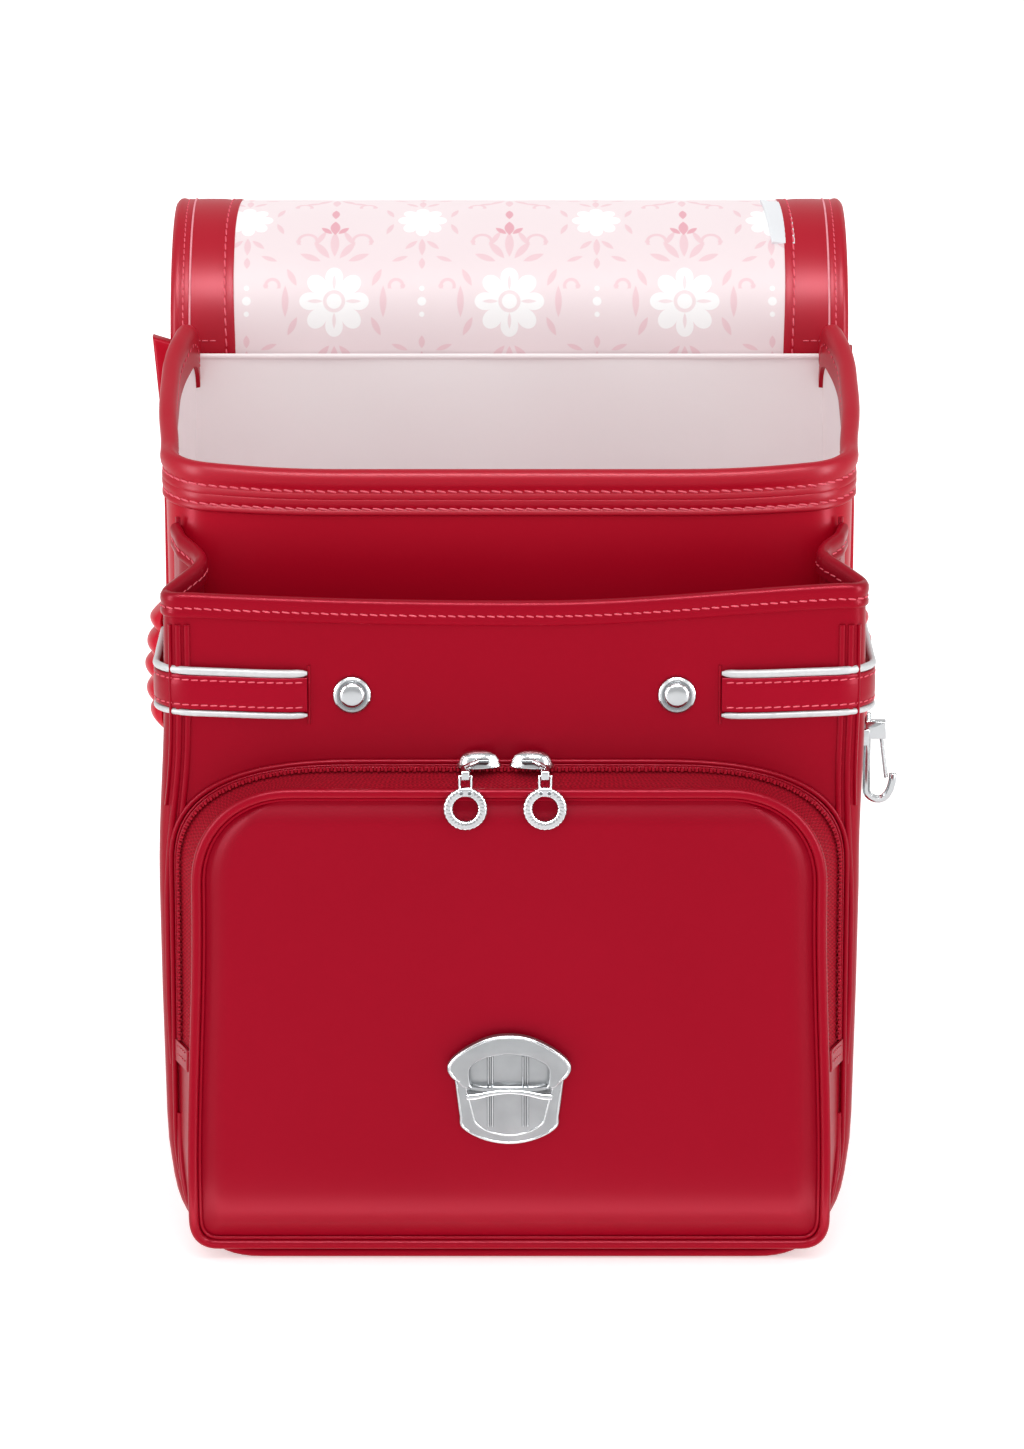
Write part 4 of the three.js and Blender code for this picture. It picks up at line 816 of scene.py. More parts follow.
foot_cord = [(x, y - 0.9, z) for x, y, z in zip_round(0, -1.2)]
bead("zip_foot_cord", foot_cord, outward_hint(zip_round(0)), 0.95, 0.95, nodes=("zip_outer_cord",), closed=True)
for label, share, inset in (("second", 0.1, -0.55), ("third", 0.17, -0.35)):
    fine_cord = zip_upper(share, inset)
    bead("zip_foot_cord_" + label, fine_cord, outward_hint(fine_cord), 0.55, 0.5)
front_piping = [(x, y - 2.0, z) for x, y, z in zip_round(1, 0.55)]
bead("zip_front_piping", front_piping, (0, -1, 0), 1.85, 1.8, nodes=("zip_piping",), closed=True, sides=16)
inner_ridge = [(x, y - 0.9, z) for x, y, z in zip_round(1, 3.0)]
bead("zip_inner_ridge", inner_ridge, (0, -1, 0), 0.7, 0.8, closed=True)


# Front panel of the zip pocket
# Stiff leather, moulded with a low crown, its lower edge curved back towards the bottom of the bag.
def front_panel_rows():
    size = zip_size(1, 3.6)
    half, top, bottom = size["half"], size["top"], size["bottom"] - 0.8
    across, down, lower, up = size["across"], size["down"], size["lower"], size["up"]
    levels = []
    for i in range(10):
        wide, high = squarish(1 - i / 10)
        levels.append((bottom + up * (1 - high), half - lower + lower * wide))
    levels += [(z, half) for z in np.linspace(bottom + up, top - down, 22)]
    for i in range(1, 17):
        wide, high = squarish(i / 16, size["square"])
        levels.append((top - down + down * high, half - across + across * wide))
    edges = 1 - np.array([0, 0.012, 0.026, 0.042, 0.06, 0.085, 0.12, 0.17, 0.25, 0.36, 0.5, 0.66, 0.82])
    columns = np.concatenate([-edges, [0], edges[::-1]])
    rows = []
    for z, wide in levels:
        wide += zip_flare(z)
        row = []
        for share in columns:
            x = share * wide
            edge = min(wide - abs(x), top - z, z - bottom)
            crown = 3 * float(step(edge, 0, 9)) ** 0.7 * float(step(z - bottom, -2, 12))
            row.append((x, zip_point(x, z, 1)[1] - 0.3 - crown, z))
        rows.append(row)
    return rows


panel_leather = leather_finish("panel_leather", srgb(150, 1, 28), srgb(145, 1, 25), rough=0.36)
front_panel = sheet_piece("zip_front_panel_leather", front_panel_rows(), 2.0, (0, -60, 95))
placed(front_panel, panel_leather, "leather", "zip_front_panel")


# Zipper end tabs and belt keepers
# Small folded pieces of the same leather: a tab over each end of the zipper, and a scalloped keeper
# on each side that holds the belt down.
def dressed(node, name, levels=2, crease=38):
    """A copy of a solid with its triangles merged, its hard edges kept and the rest rounded."""
    obj = linked(name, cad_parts[node].data.copy())
    shape = bmesh.new()
    shape.from_mesh(obj.data)
    bmesh.ops.remove_doubles(shape, verts=shape.verts, dist=0.02 * MM)
    bmesh.ops.join_triangles(
        shape, faces=shape.faces, angle_face_threshold=math.radians(25), angle_shape_threshold=math.radians(60)
    )
    layer = shape.edges.layers.float.get("crease_edge") or shape.edges.layers.float.new("crease_edge")
    for edge in shape.edges:
        if len(edge.link_faces) == 2 and edge.calc_face_angle(0) > math.radians(crease):
            edge[layer] = 1.0
    shape.to_mesh(obj.data)
    shape.free()
    if levels:
        modified(obj, "SUBSURF", levels=levels, render_levels=levels)
    smooth(obj)
    return obj


KEEPER_LOW, KEEPER_HIGH, KEEPER_SIDE, KEEPER_MIDDLE = 180, 227, 127.6, -32
for word, side in SIDES:
    tab = dressed("zip_end_tab_" + word, "zip_end_tab_leather_" + word)
    placed(tab, red_leather, "leather", "zip_end_tab_" + word)
    folds = []
    for z in np.linspace(KEEPER_LOW, KEEPER_HIGH, 50):
        stand = np.interp(z, [KEEPER_LOW, 188, 205, 222, KEEPER_HIGH], [1.5, 4.8, 5.6, 3.4, 0.6])
        lobe = abs(math.sin((z - KEEPER_LOW) / (KEEPER_HIGH - KEEPER_LOW) * 5 * math.pi)) ** 0.7
        row = []
        for t in np.linspace(-0.98, 0.98, 17):
            out = KEEPER_SIDE + (stand + 3.2 * lobe) * math.cos(t * math.pi / 2) ** 0.35
            row.append((side * out, KEEPER_MIDDLE + t * (11 + 1.4 * lobe), z))
        folds.append(row)
    keeper = sheet_piece("side_keeper_leather_" + word, folds, 1.4, (0, KEEPER_MIDDLE, 204))
    keeper_leather = leather_finish("keeper_leather_" + word, srgb(204, 14, 42), srgb(192, 8, 35))
    placed(keeper, keeper_leather, "leather", "side_keeper_" + word)
    rows = []
    for level in (2.2, 5.4):
        line = []
        for s in np.linspace(0.16, 0.82, 9):
            z = ZIP_END + level + 1.1 * math.sin(s * math.pi)
            line.append(zip_point(side * (zip_size(s)["half"] + 1.45), z, s))
        out = np.broadcast_to((float(side), 0.0, 0.0), (9, 3))
        rows.append(stitch_row(line, out, pitch=2.4, length=1.9, wide=0.2, high=0.18, tilt=0))
    stitch_piece("zip_end_tab_stitches_" + word, *rows)


# Side belts
# A strip of leather from a slit in the pocket's front, round its corner to the keeper, sewn along
# both edges, with a light grey reflective cord above and below it.
trim_finish = Finish("reflective_trim", Roughness=0.42, Specular_IOR_Level=0.6)
trim_finish.feed(Base_Color=trim_finish.noise(420.0, 3.0).blend(srgb(188, 190, 192), srgb(214, 215, 216)))
trim_finish.bump(trim_finish.cells(2600.0), 0.15, 0.0001)
BELT_HEIGHT, BELT_START, BELT_FRONT, BELT_EDGE = 209.6, 74.5, -109.1, 4.6
belt_x = (BELT_START, 76, 78, 80.5, 86, 92, 98, 104, 110)
belt_stitch = dict(pitch=3.4, length=2.6, wide=0.3, high=0.24, tilt=4, start=0.9)
belt_section = [
    (-1.8, -6.2), (-0.3, -6.2), (0, -5.8), (0.02, -5.2), (-0.16, -4.6), (0.04, -4.0), (0.18, -2),
    (0.18, 2), (0.04, 4.0),
    (-0.16, 4.6), (0.02, 5.2), (0, 5.8), (-0.3, 6.2), (-1.8, 6.2),
]
for word, side in SIDES:
    run = [(x, BELT_FRONT - min((x - BELT_START) / 6, 1), 0.0, -1.0) for x in belt_x]
    for i in range(1, 13):
        s, c = math.sin(i / 12 * math.pi / 2), math.cos(i / 12 * math.pi / 2)
        run.append((113.5 + 17 * s, -94.0 - 16.1 * c, s, -c))
    run += [(130.5 + i / 5, y, 1.0, 0.0) for i, y in enumerate((-86, -75, -60, -45, -30, -18))]
    path = np.array([(side * x + LEAN, y, BELT_HEIGHT + 1.2 * float(step(x, 80, 124))) for x, y, _, _ in run])
    outs = np.array([(side * ox, oy, 0.0) for _, _, ox, oy in run])
    ups = np.broadcast_to(upright, path.shape)
    belt = swept("side_belt_leather_" + word, path, outs, ups, belt_section)
    belt_leather = leather_finish("belt_leather_" + word, srgb(160, 3, 32), srgb(153, 2, 28))
    placed(belt, belt_leather, "leather", "side_belt_" + word)
    for edge, height, wide, tall in (("upper", 7.8, 1.25, 1.45), ("lower", -7.7, 1.15, 1.15)):
        line = path - outs * 0.9 + upright * height
        finer = np.interp(np.arange(len(line)), [0, 1, 2], [0.45, 0.85, 1.0])[:, None]
        name, cord = edge + "_" + word, oval(wide, tall, 14)
        trim = swept("belt_trim_cord_" + name, line, outs * finer, ups * finer, cord)
        placed(trim, trim_finish.material, "trim", "belt_trim_" + name)
    end = [(side * 76.4 + LEAN, -109.3, BELT_HEIGHT + z) for z in np.linspace(-BELT_EDGE, BELT_EDGE, 6)]
    front = np.broadcast_to((0.0, -1.0, 0.0), (6, 3))
    stitch_piece(
        "side_belt_stitches_" + word,
        stitch_row(path + upright * BELT_EDGE, outs, **belt_stitch),
        stitch_row(path - upright * BELT_EDGE, outs, **belt_stitch),
        stitch_row(end, front, pitch=3.0, length=2.3, wide=0.25, high=0.2, tilt=0),
    )
    slit = [(side * 73.9 + LEAN, -107.2, BELT_HEIGHT + z) for z in np.linspace(-11, 10.5, 8)]
    bead("belt_slit_welt_" + word, slit, (0, -1, 0), 0.5, 0.7)


# Snap caps
# Chromed caps of the two press studs under the belts' ends: a rounded collar, a groove and a dome.
chrome_finish = Finish("bright_chrome", Metallic=1.0)
smear = chrome_finish.noise(60.0, 4.0)
chrome_finish.feed(Base_Color=smear.blend(srgb(160, 162, 164), srgb(196, 198, 200)))
chrome_finish.feed(Roughness=smear * 0.1 + 0.14)
chrome_finish.bump(chrome_finish.noise(240.0, 2.0), 0.04, 0.0002)
bright_chrome = chrome_finish.material


def turned(name, profile, centre, steps=56):
    """A piece turned round the depth axis, from a profile of radius and height in millimetres."""
    mesh = bpy.data.meshes.new(name)
    corners = [((centre[0] + r) * MM, (centre[1] - h) * MM, centre[2] * MM) for r, h in profile]
    mesh.from_pydata(corners, [(i, i + 1) for i in range(len(corners) - 1)], [])
    obj = linked(name, mesh)
    active(obj)
    bpy.ops.object.mode_set(mode="EDIT")
    bpy.ops.mesh.select_all(action="SELECT")
    bpy.ops.mesh.spin(steps=steps, angle=2 * math.pi, center=[c * MM for c in centre], axis=(0, 1, 0))
    bpy.ops.mesh.select_all(action="SELECT")
    bpy.ops.mesh.remove_doubles(threshold=0.01 * MM)
    bpy.ops.mesh.normals_make_consistent(inside=False)
    bpy.ops.object.mode_set(mode="OBJECT")
    smooth(obj, 35)
    return obj


snap_profile = [
    (0, 0), (6.5, 0), (6.8, 0.25), (6.8, 0.8), (6.6, 1.25), (6.1, 1.55), (5.6, 1.5), (5.15, 1.15), (4.95, 0.95),
    (4.8, 1.2), (4.6, 1.9), (4.1, 2.5), (3.2, 2.85), (2.0, 3.05), (0.9, 3.12), (0, 3.14),
]
for word, side in SIDES:
    cap = turned("snap_cap_dome_" + word, snap_profile, (side * 58.4 + LEAN, -107.3, 209.3))
    placed(cap, bright_chrome, "chrome", "snap_cap_" + word)


# Lock
# A pressed and chromed lock: a plate with a raised rim and two double ribs, an arched bar across it
# and a visor with a broad window above.
def plaque(name, outlines, front, back, edge, rounds=2):
    """A flat plate with eased edges, drawn as closed outlines of x and z."""
    curve = bpy.data.curves.new(name, "CURVE")
    curve.dimensions = "2D"
    curve.fill_mode = "BOTH"
    curve.extrude = (back - front) * MM / 2 - edge * MM
    curve.bevel_depth = edge * MM
    curve.offset = -edge * MM
    curve.bevel_resolution = 3
    for outline in outlines:
        points = np.asarray(outline, float)
        for _ in range(rounds):
            ahead = np.roll(points, -1, 0)
            cut = [points * 0.78 + ahead * 0.22, points * 0.22 + ahead * 0.78]
            points = np.stack(cut, axis=1).reshape(-1, 2)
        spline = curve.splines.new("POLY")
        spline.points.add(len(points) - 1)
        for point, (x, z) in zip(spline.points, points):
            point.co = (x * MM, z * MM, 0, 1)
        spline.use_cyclic_u = True
    obj = linked(name, curve)
    obj.rotation_euler = (math.pi / 2, 0, 0)
    obj.location = (0, (front + back) * MM / 2, 0)
    active(obj)
    bpy.ops.object.convert(target="MESH")
    obj = bpy.context.object
    bpy.ops.object.transform_apply(location=True, rotation=True, scale=True)
    bpy.ops.object.mode_set(mode="EDIT")
    bpy.ops.mesh.select_all(action="SELECT")
    bpy.ops.mesh.remove_doubles(threshold=0.005 * MM)
    bpy.ops.object.mode_set(mode="OBJECT")
    smooth(obj, 35)
    return obj


LOCK_HEIGHT = 68.9


def both_sides(left):
    """A closed outline from its left half, given from the middle of the lock."""
    points = [(x, LOCK_HEIGHT + z) for x, z in left]
    return points + [(-x, z) for x, z in reversed(points) if x < 0]


plate_outline = both_sides([
    (0, 18.6), (-8, 17.6), (-15.5, 13.6), (-19.4, 9.6), (-20.2, 6.5), (-19.6, 2.5), (-18.3, -8),
    (-17.9, -10.5), (-18.0, -13.2), (-17.2, -15), (-13.8, -17.6), (-7.4, -20.3), (0, -21.3),
])
visor_outline = both_sides([
    (-16.0, 0.5), (-18.6, 3.6), (-20.8, 5.0), (-22.3, 7.6), (-22.4, 9.6), (-20.8, 12.2), (-16.5, 15.8),
    (-10, 19.4), (-5, 20.9), (0, 21.3),
])
window_outline = both_sides([(-13.6, 0.8), (-14.3, 4.5), (-14.4, 8.4), (-13.2, 10.2), (-8, 13.0), (0, 14.2)])
satin_finish = Finish("satin_chrome", Metallic=1.0)
satin_shade = satin_finish.noise(90.0, 3.0)
satin_finish.feed(Base_Color=satin_shade.blend(srgb(132, 134, 136), srgb(164, 166, 168)))
satin_finish.feed(Roughness=satin_shade * 0.1 + 0.26)
lock_plate = plaque("lock_plate_pressed", [plate_outline], -133.0, -130.9, 0.5)
placed(lock_plate, satin_finish.material, "chrome", "lock_plate")
visor = plaque("lock_visor_pressed", [visor_outline, window_outline], -136.6, -133.1, 0.8, rounds=3)
placed(visor, satin_finish.material, "chrome", "lock_visor")


def chrome_bead(name, points, front, wide, high, closed=False, taper=([0, 1], [1, 1]), rounds=3):
    """A bead of chrome on the lock, along points of x and z, fuller or finer along its run."""
    points = np.asarray(points, float)
    for _ in range(rounds):
        ahead = np.roll(points, -1, 0) if closed else points[1:]
        here = points if closed else points[:-1]
        between = np.stack([here * 0.75 + ahead * 0.25, here * 0.25 + ahead * 0.75], axis=1).reshape(-1, 2)
        points = between if closed else np.vstack([points[:1], between, points[-1:]])
    path = np.array([(x, front, LOCK_HEIGHT + z) for x, z in points])
    across, out = frames_of(path, (0, -1, 0), closed)
    fuller = np.interp(np.linspace(0, 1, len(path)), *taper)[:, None]
    rod = swept(name, path, across * fuller, out * fuller, oval(wide, high, 10), closed)
    return placed(rod, bright_chrome, "chrome")


def rim_of(outline, inset):
    points = np.array(outline) - np.array((0, LOCK_HEIGHT))
    middle = points.mean(axis=0)
    reach = np.linalg.norm(points - middle, axis=1)[:, None]
    return middle + (points - middle) * (1 - inset / reach)


def symmetric(left):
    return left + [(-x, z) for x, z in reversed(left) if x < 0]


chrome_bead("lock_plate_rim", rim_of(plate_outline, 0.6), -132.9, 0.4, 0.35, closed=True)
inner_line = symmetric([(-16.4, 3.4), (-12.9, -10.5), (-12.3, -13.4), (-7, -16.6), (0, -18.0)])
chrome_bead("lock_inner_line", inner_line, -132.95, 0.32, 0.3)
for word, x in (("a", -7.6), ("b", -6.1), ("c", 5.0), ("d", 6.7)):
    chrome_bead("lock_rib_" + word, [(x, z) for z in (12.5, 4, -6, -14)], -133.1, 0.5, 0.9, rounds=1)
chrome_bead("lock_visor_rim", rim_of(visor_outline[1:-1], 0.9), -136.5, 0.35, 0.25)
bar = symmetric([(-15.4, -2.0), (-12, -1.9), (-7, -0.6), (0, 0.2)])
chrome_bead("lock_cross_bar", bar, -136.2, 1.1, 0.9, taper=([0, 0.15, 0.5, 0.85, 1], [1.0, 1.2, 0.8, 1.2, 1.0]))


# Zipper sliders and ring pulls
# Two chromed sliders that meet in the middle, each a low pointed dome on a lip; from its blunt end
# hangs a clevis, a square link and a ring cut like twisted rope.
def soft_block(name, low, high):
    """A small block of chrome with rounded edges, from its lowest to its highest corner."""
    low, high = np.array(low, float), np.array(high, float)
    bpy.ops.mesh.primitive_cube_add(size=1, location=(low + high) * MM / 2)
    obj = bpy.context.object
    obj.name = name
    obj.scale = (high - low) * MM
    bpy.ops.object.transform_apply(location=True, rotation=True, scale=True)
    modified(obj, "BEVEL", width=0.5 * MM, segments=3)
    smooth(obj)
    placed(obj, bright_chrome, "chrome")


# Darker chrome for the pull rivets and for the painted shade of the sliders' recesses.
shaded_finish = Finish("shaded_chrome", Metallic=1.0)
shaded_finish.feed(Base_Color=shaded_finish.noise(120.0).blend(srgb(70, 72, 74), srgb(112, 114, 116)))
shaded_finish.feed(Roughness=shaded_finish.noise(300.0) * 0.1 + 0.25)
dark_chrome = shaded_finish.material
PULL_MIDDLE, DOME_FRONT, DOME_FOOT, RING_HEIGHT = -1.4, -114.6, 184.6, 173.5
dome_levels = [
    (0.0, 1.0), (0.9, 1.0), (1.3, 0.92), (2.6, 0.88), (4.0, 0.78), (5.0, 0.6), (5.6, 0.34), (5.8, 0.0),
]
rivet_profile = [(0, 0), (0.75, 0), (0.75, 0.25), (0.45, 0.5), (0, 0.55)]
dome_sides, rope_turns, rope_sides = 40, 160, 20
for word, side in SIDES:
    x, pull_x = PULL_MIDDLE + side * 9.5, PULL_MIDDLE + side * 14.2
    corners = []
    for height, girth in dome_levels:
        for k in range(dome_sides):
            angle = k / dome_sides * 2 * math.pi
            pinch = 1 - 0.55 * (0.5 - 0.5 * side * math.cos(angle)) ** 2.2
            y = DOME_FRONT - 4.6 * girth * pinch * math.sin(angle)
            corners.append((x + 7.9 * girth * math.cos(angle), y, DOME_FOOT + height))
    faces = ring_faces(len(dome_levels), dome_sides) + [tuple(reversed(range(dome_sides)))]
    dome = mesh_piece("zipper_slider_dome_" + word, corners, faces, 45)
    mended(dome, 0.01 * MM)
    placed(dome, bright_chrome, "chrome", "zipper_slider_" + word)
    # Painted shade: a dark chrome bead on the dome's front stands for the shade inside the slider's recess.
    recess = (x + side * 1.5, DOME_FRONT - 4.2, 187.4), (x - side * 3.4, DOME_FRONT - 3.2, 187.2)
    bead("slider_recess_" + word, np.linspace(*recess, 8), (0, -1, 0.6), 1.1, 0.8, dark_chrome, "chrome")
    arm = np.array([
        (x + side * 0.5, DOME_FRONT - 4.9, 187.6), (x + side * 3.4, DOME_FRONT - 6.6, 186.9),
        (x + side * 5.6, DOME_FRONT - 9.5, 186.6), (pull_x, -131.2, 186.6),
    ])
    arm = [point_at(t, np.linspace(0, 1, 4), arm) for t in np.linspace(0, 1, 16)]
    bead("slider_bridge_" + word, arm, (0, 0, 1), 0.9, 0.8, bright_chrome, "chrome")
    soft_block("slider_clevis_" + word, (pull_x - 1.5, -133.8, 184.3), (pull_x + 1.5, -130.6, 187.6))
    link = [(pull_x + a, -132.4, z) for a, z in ((-2.1, 180.9), (2.1, 180.9), (2.1, 185.6), (-2.1, 185.6))]
    link = np.vstack([np.linspace(link[i], link[(i + 1) % 4], 5)[:-1] for i in range(4)])
    bead("pull_link_" + word, link, (0, -1, 0), 0.5, 0.6, bright_chrome, "chrome", closed=True, sides=8)
    rope_corners = []
    for i in range(rope_turns):
        around = i / rope_turns * 2 * math.pi
        for k in range(rope_sides):
            angle = k / rope_sides * 2 * math.pi
            groove = abs(math.sin(14 * around + 1.3 * math.cos(angle) + 0.5))
            thick = 0.86 + 0.14 * groove ** 0.6
            reach = 6.15 + 1.75 * thick * math.cos(angle)
            y = -132.6 - 1.15 * thick * math.sin(angle)
            rope_corners.append((pull_x + reach * math.cos(around), y, RING_HEIGHT + reach * math.sin(around)))
    ring = mesh_piece("pull_ring_" + word, rope_corners, ring_faces(rope_turns, rope_sides, closed=True))
    mended(ring)
    placed(ring, bright_chrome, "chrome", "zipper_pull_" + word)
    soft_block("pull_seat_" + word, (pull_x - 2.6, -134.0, 178.2), (pull_x + 2.6, -132.2, 181.4))
    for place, dx in (("a", -1.5), ("b", 1.5)):
        rivet = turned("pull_rivet_" + place + "_" + word, rivet_profile, (pull_x + dx, -134.0, 179.7), 16)
        placed(rivet, dark_chrome, "chrome")


# Side hook
# A chromed wire hook on a plate on the right side, with a lug that carries its sprung wire gate.
def steel_piece(node, name, width=0.5, segments=2):
    """A copy of a metal solid with its edges eased."""
    obj = dressed(node, name, levels=0)
    return modified(obj, "BEVEL", width=width * MM, segments=segments, angle_limit=math.radians(50))


for node in ("hook_plate", "side_hook"):
    obj = steel_piece(node, node + "_steel")
    smooth(obj, 50)
    placed(obj, bright_chrome, "chrome", node)
gate = dressed("hook_gate", "hook_gate_wire", levels=2)
placed(gate, bright_chrome, "chrome", "hook_gate", body="gate")


# Flap
# A broad sheet of the same leather, thrown open: it rises behind the back wall, rolls backwards and
# hangs down behind. Its inner face carries a printed lining between two sewn leather strips.
FLAP_HALF, FLAP_CORNER, HANG_END, FLAP_MAP = 131.5, 34, 371, 405.0
ROLL_RADIUS, ROLL_DEPTH, ROLL_HEIGHT = 49.5, 116.6, 305


def flap_point(x, along, lift):
    """A point at a way along the flap and a lift off its shell, round the roll and down behind it."""
    start, end = 0.02627, math.radians(186)
    roll = (end - start) * ROLL_RADIUS
    angle = start + min(along, roll) / ROLL_RADIUS
    rest = max(0.0, along - roll)
    r, c, s = ROLL_RADIUS + lift, math.cos(angle), math.sin(angle)
    return (x, ROLL_DEPTH - r * c + rest * s, ROLL_HEIGHT + 0.965 * r * s + rest * c)


def flap_half(along):
    past = min(max(0.0, along - HANG_END), FLAP_CORNER)
    return FLAP_HALF - (FLAP_CORNER - math.sqrt(FLAP_CORNER ** 2 - past ** 2))


flap_steps = [*np.linspace(-7, 160, 52), *np.linspace(166, HANG_END, 20)]
corner_steps = [HANG_END + FLAP_CORNER * math.sin(a) for a in np.linspace(0.15, math.pi / 2, 9)]
shell_rows = [
    [flap_point(t * flap_half(s), s, 0) for t in np.linspace(-1, 1, 21)] for s in flap_steps + corner_steps
]
flap_shell = sheet_piece("flap_outer_leather", shell_rows, LEATHER, (0, 400, -100))
flap_shell.data.flip_normals()
flap_shell.data.update()
placed(flap_shell, main_leather, "leather", "flap_shell")


def flap_sheet(name, steps, left, right, profile, material, slot, nodes=(), flat=False):
    """A strip on the flap's inner face; the profile gives its lift at shares of its width."""
    low = min(lift for _, lift in profile) - 0.6
    across = [[left(s) + (right(s) - left(s)) * t for t, _ in profile] for s in steps]
    top = [flap_point(x, s, lift) for xs, s in zip(across, steps) for x, (_, lift) in zip(xs, profile)]
    under = [flap_point(x, s, low) for xs, s in zip(across, steps) for x in xs]
    count, width, half = len(steps), len(profile), len(top)
    faces = []
    for r in range(count - 1):
        for a in range(r * width, (r + 1) * width - 1):
            b = a + width
            faces += [(a, a + 1, b + 1, b), (half + a, half + b, half + b + 1, half + a + 1)]
        for a in (r * width, (r + 1) * width - 1):
            faces.append((a, a + width, half + a + width, half + a))
    for r in (0, count - 1):
        faces += [(a, a + 1, half + a + 1, half + a) for a in range(r * width, (r + 1) * width - 1)]
    obj = mesh_piece(name, top + under, faces)
    if flat:
        places = [((x + FLAP_HALF) / FLAP_MAP, s / FLAP_MAP) for xs, s in zip(across, steps) for x in xs]
        flat_map(obj, places * 2)
    mended(obj)
    smooth(obj, 50)
    return placed(obj, material, slot, *nodes)


# Lining of the flap
# Pale coated cloth printed with a traditional damask of our own: white rosettes and pink leaf sprays
# in rows that are offset by half a repeat.
REPEAT_X, REPEAT_Y = 68.0, 76.0
print_finish = Finish("flap_damask", Roughness=0.45, Specular_IOR_Level=0.1)
uv_x = print_finish.flat.node("ShaderNodeSeparateXYZ", {"Vector": print_finish.flat})
wide_mm = uv_x * FLAP_MAP - FLAP_HALF
long_mm = uv_x.output(1) * FLAP_MAP


def cell(shift):
    """Millimetres from the middle of the repeat, on both axes, for one of its two offset rows."""
    a = ((wide_mm / REPEAT_X + (0.5 + shift)).part() - 0.5) * REPEAT_X
    b = ((long_mm / REPEAT_Y + (0.27 + shift)).part() - 0.5) * REPEAT_Y
    return a, b


def distance(a, b, at=(0.0, 0.0)):
    p, q = a - at[0], b - at[1]
    return (p * p + q * q).maths("SQRT")


SOFT = 0.35


def rosette(a, b, reach, depth, petals=8):
    angle = b.maths("ARCTAN2", a)
    lobe = (angle * (petals / 2)).maths("COSINE").size().maths("POWER", 0.55)
    return distance(a, b).below(lobe * (reach * depth) + reach * (1 - depth), SOFT)


def leaf(a, b, at, turn, length, width):
    c, s = math.cos(math.radians(turn)), math.sin(math.radians(turn))
    p = (a - at[0]) * c + (b - at[1]) * s
    q = (b - at[1]) * c - (a - at[0]) * s
    edge = (1.0 - (p / length) * (p / length)).maths("MAXIMUM", 0.0) * (width + 0.2) - 0.2
    return q.size().below(edge, SOFT)


def leaves(a, b, rows):
    """All the leaves of a spray, each with its place, turn, length and width."""
    spray = leaf(a, b, *rows[0])
    for row in rows[1:]:
        spray = spray.either(leaf(a, b, *row))
    return spray


large_a, large_b = cell(0.0)
small_a, small_b = cell(0.5)
side_a, petal_a, rise_b = large_a.size(), small_a.size(), large_b.size()
ring_gap = (distance(large_a, large_b) - 3.6).size().below(0.7, 0.3)
spoke = leaves(side_a, rise_b, [((7.4, 0), 0, 3.4, 0.7), ((0, 7.4), 90, 3.4, 0.7)])
dots = distance(side_a, large_b, (34.0, 0.0)).below(1.7, SOFT)
dots = dots.either(distance(side_a, rise_b, (34.0, 5.0)).below(1.0, SOFT))
whites = rosette(large_a, large_b, 13.5, 0.42).both(1.0 - ring_gap.either(spoke))
whites = whites.either(rosette(small_a, small_b, 9.5, 0.36)).either(dots)

small_spray = []
for up in (1, -1):
    small_spray += [
        ((0, up * 15.0), 90, 4.4, 1.3), ((0, up * 22.6), 90, 2.6, 1.2), ((4.2, up * 14.0), up * 40, 3.4, 1.0),
        ((12.6, up * 5.4), up * 66, 3.6, 1.0), ((8.6, up * 20.6), up * 20, 3.6, 0.9),
    ]
sprays = leaves(side_a, large_b, [
    ((0, 24.5), 90, 6.5, 1.7), ((5.0, 21.5), 52, 5.2, 1.5), ((9.4, 18.0), 22, 4.6, 1.3),
    ((5.4, 27.5), 118, 4.4, 1.1), ((16.5, 9.5), 62, 4.2, 1.2), ((19.0, 0.0), 90, 6.5, 1.3),
    ((16.2, -9.5), -62, 4.2, 1.2),
    ((0, -21.5), 90, 4.8, 1.5), ((4.8, -20.0), -48, 4.6, 1.3), ((9.0, -23.0), -18, 4.0, 1.1),
])
for at, reach, gate in (((10.6, 25.6), 3.6, 24.0), ((24.0, 6.0), 2.6, 5.0), ((12.5, -27.0), 2.8, -28.0)):
    curl = (distance(side_a, large_b, at) - reach).size().below(0.62, SOFT)
    sprays = sprays.either(curl.both(((large_b - gate) * 2.0).maths("ADD", 0.5, clamp=True)))
    sprays = sprays.either(distance(side_a, large_b, (at[0] + reach, at[1])).below(0.95, SOFT))
deep = leaves(side_a, large_b, [
    ((0, 33.2), 90, 4.2, 1.9), ((3.3, 31.5), 40, 2.9, 1.1), ((0, -33.5), 90, 3.6, 1.5),
])
ground = print_finish.noise(16.0, 2.0).blend(srgb(246, 232, 234), srgb(243, 226, 229))
pattern = sprays.either(leaves(petal_a, small_b, small_spray)).blend(ground, srgb(240, 208, 214))
pattern = deep.blend(pattern, srgb(233, 176, 187))
print_finish.feed(Base_Color=whites.blend(pattern, srgb(255, 255, 255)))
print_finish.bump(print_finish.noise(2400.0, 1.0) + print_finish.noise(22.0, 1.0) * 4.0, 0.08, 0.0001)
lining_profile = [(t, 3.1) for t in np.linspace(0, 1, 25)]
printed_lining = flap_sheet(
    "flap_printed_lining", flap_steps, lambda s: -122.2, lambda s: 122.2, lining_profile,
    print_finish.material, "lining", ("flap_lining",), flat=True,
)


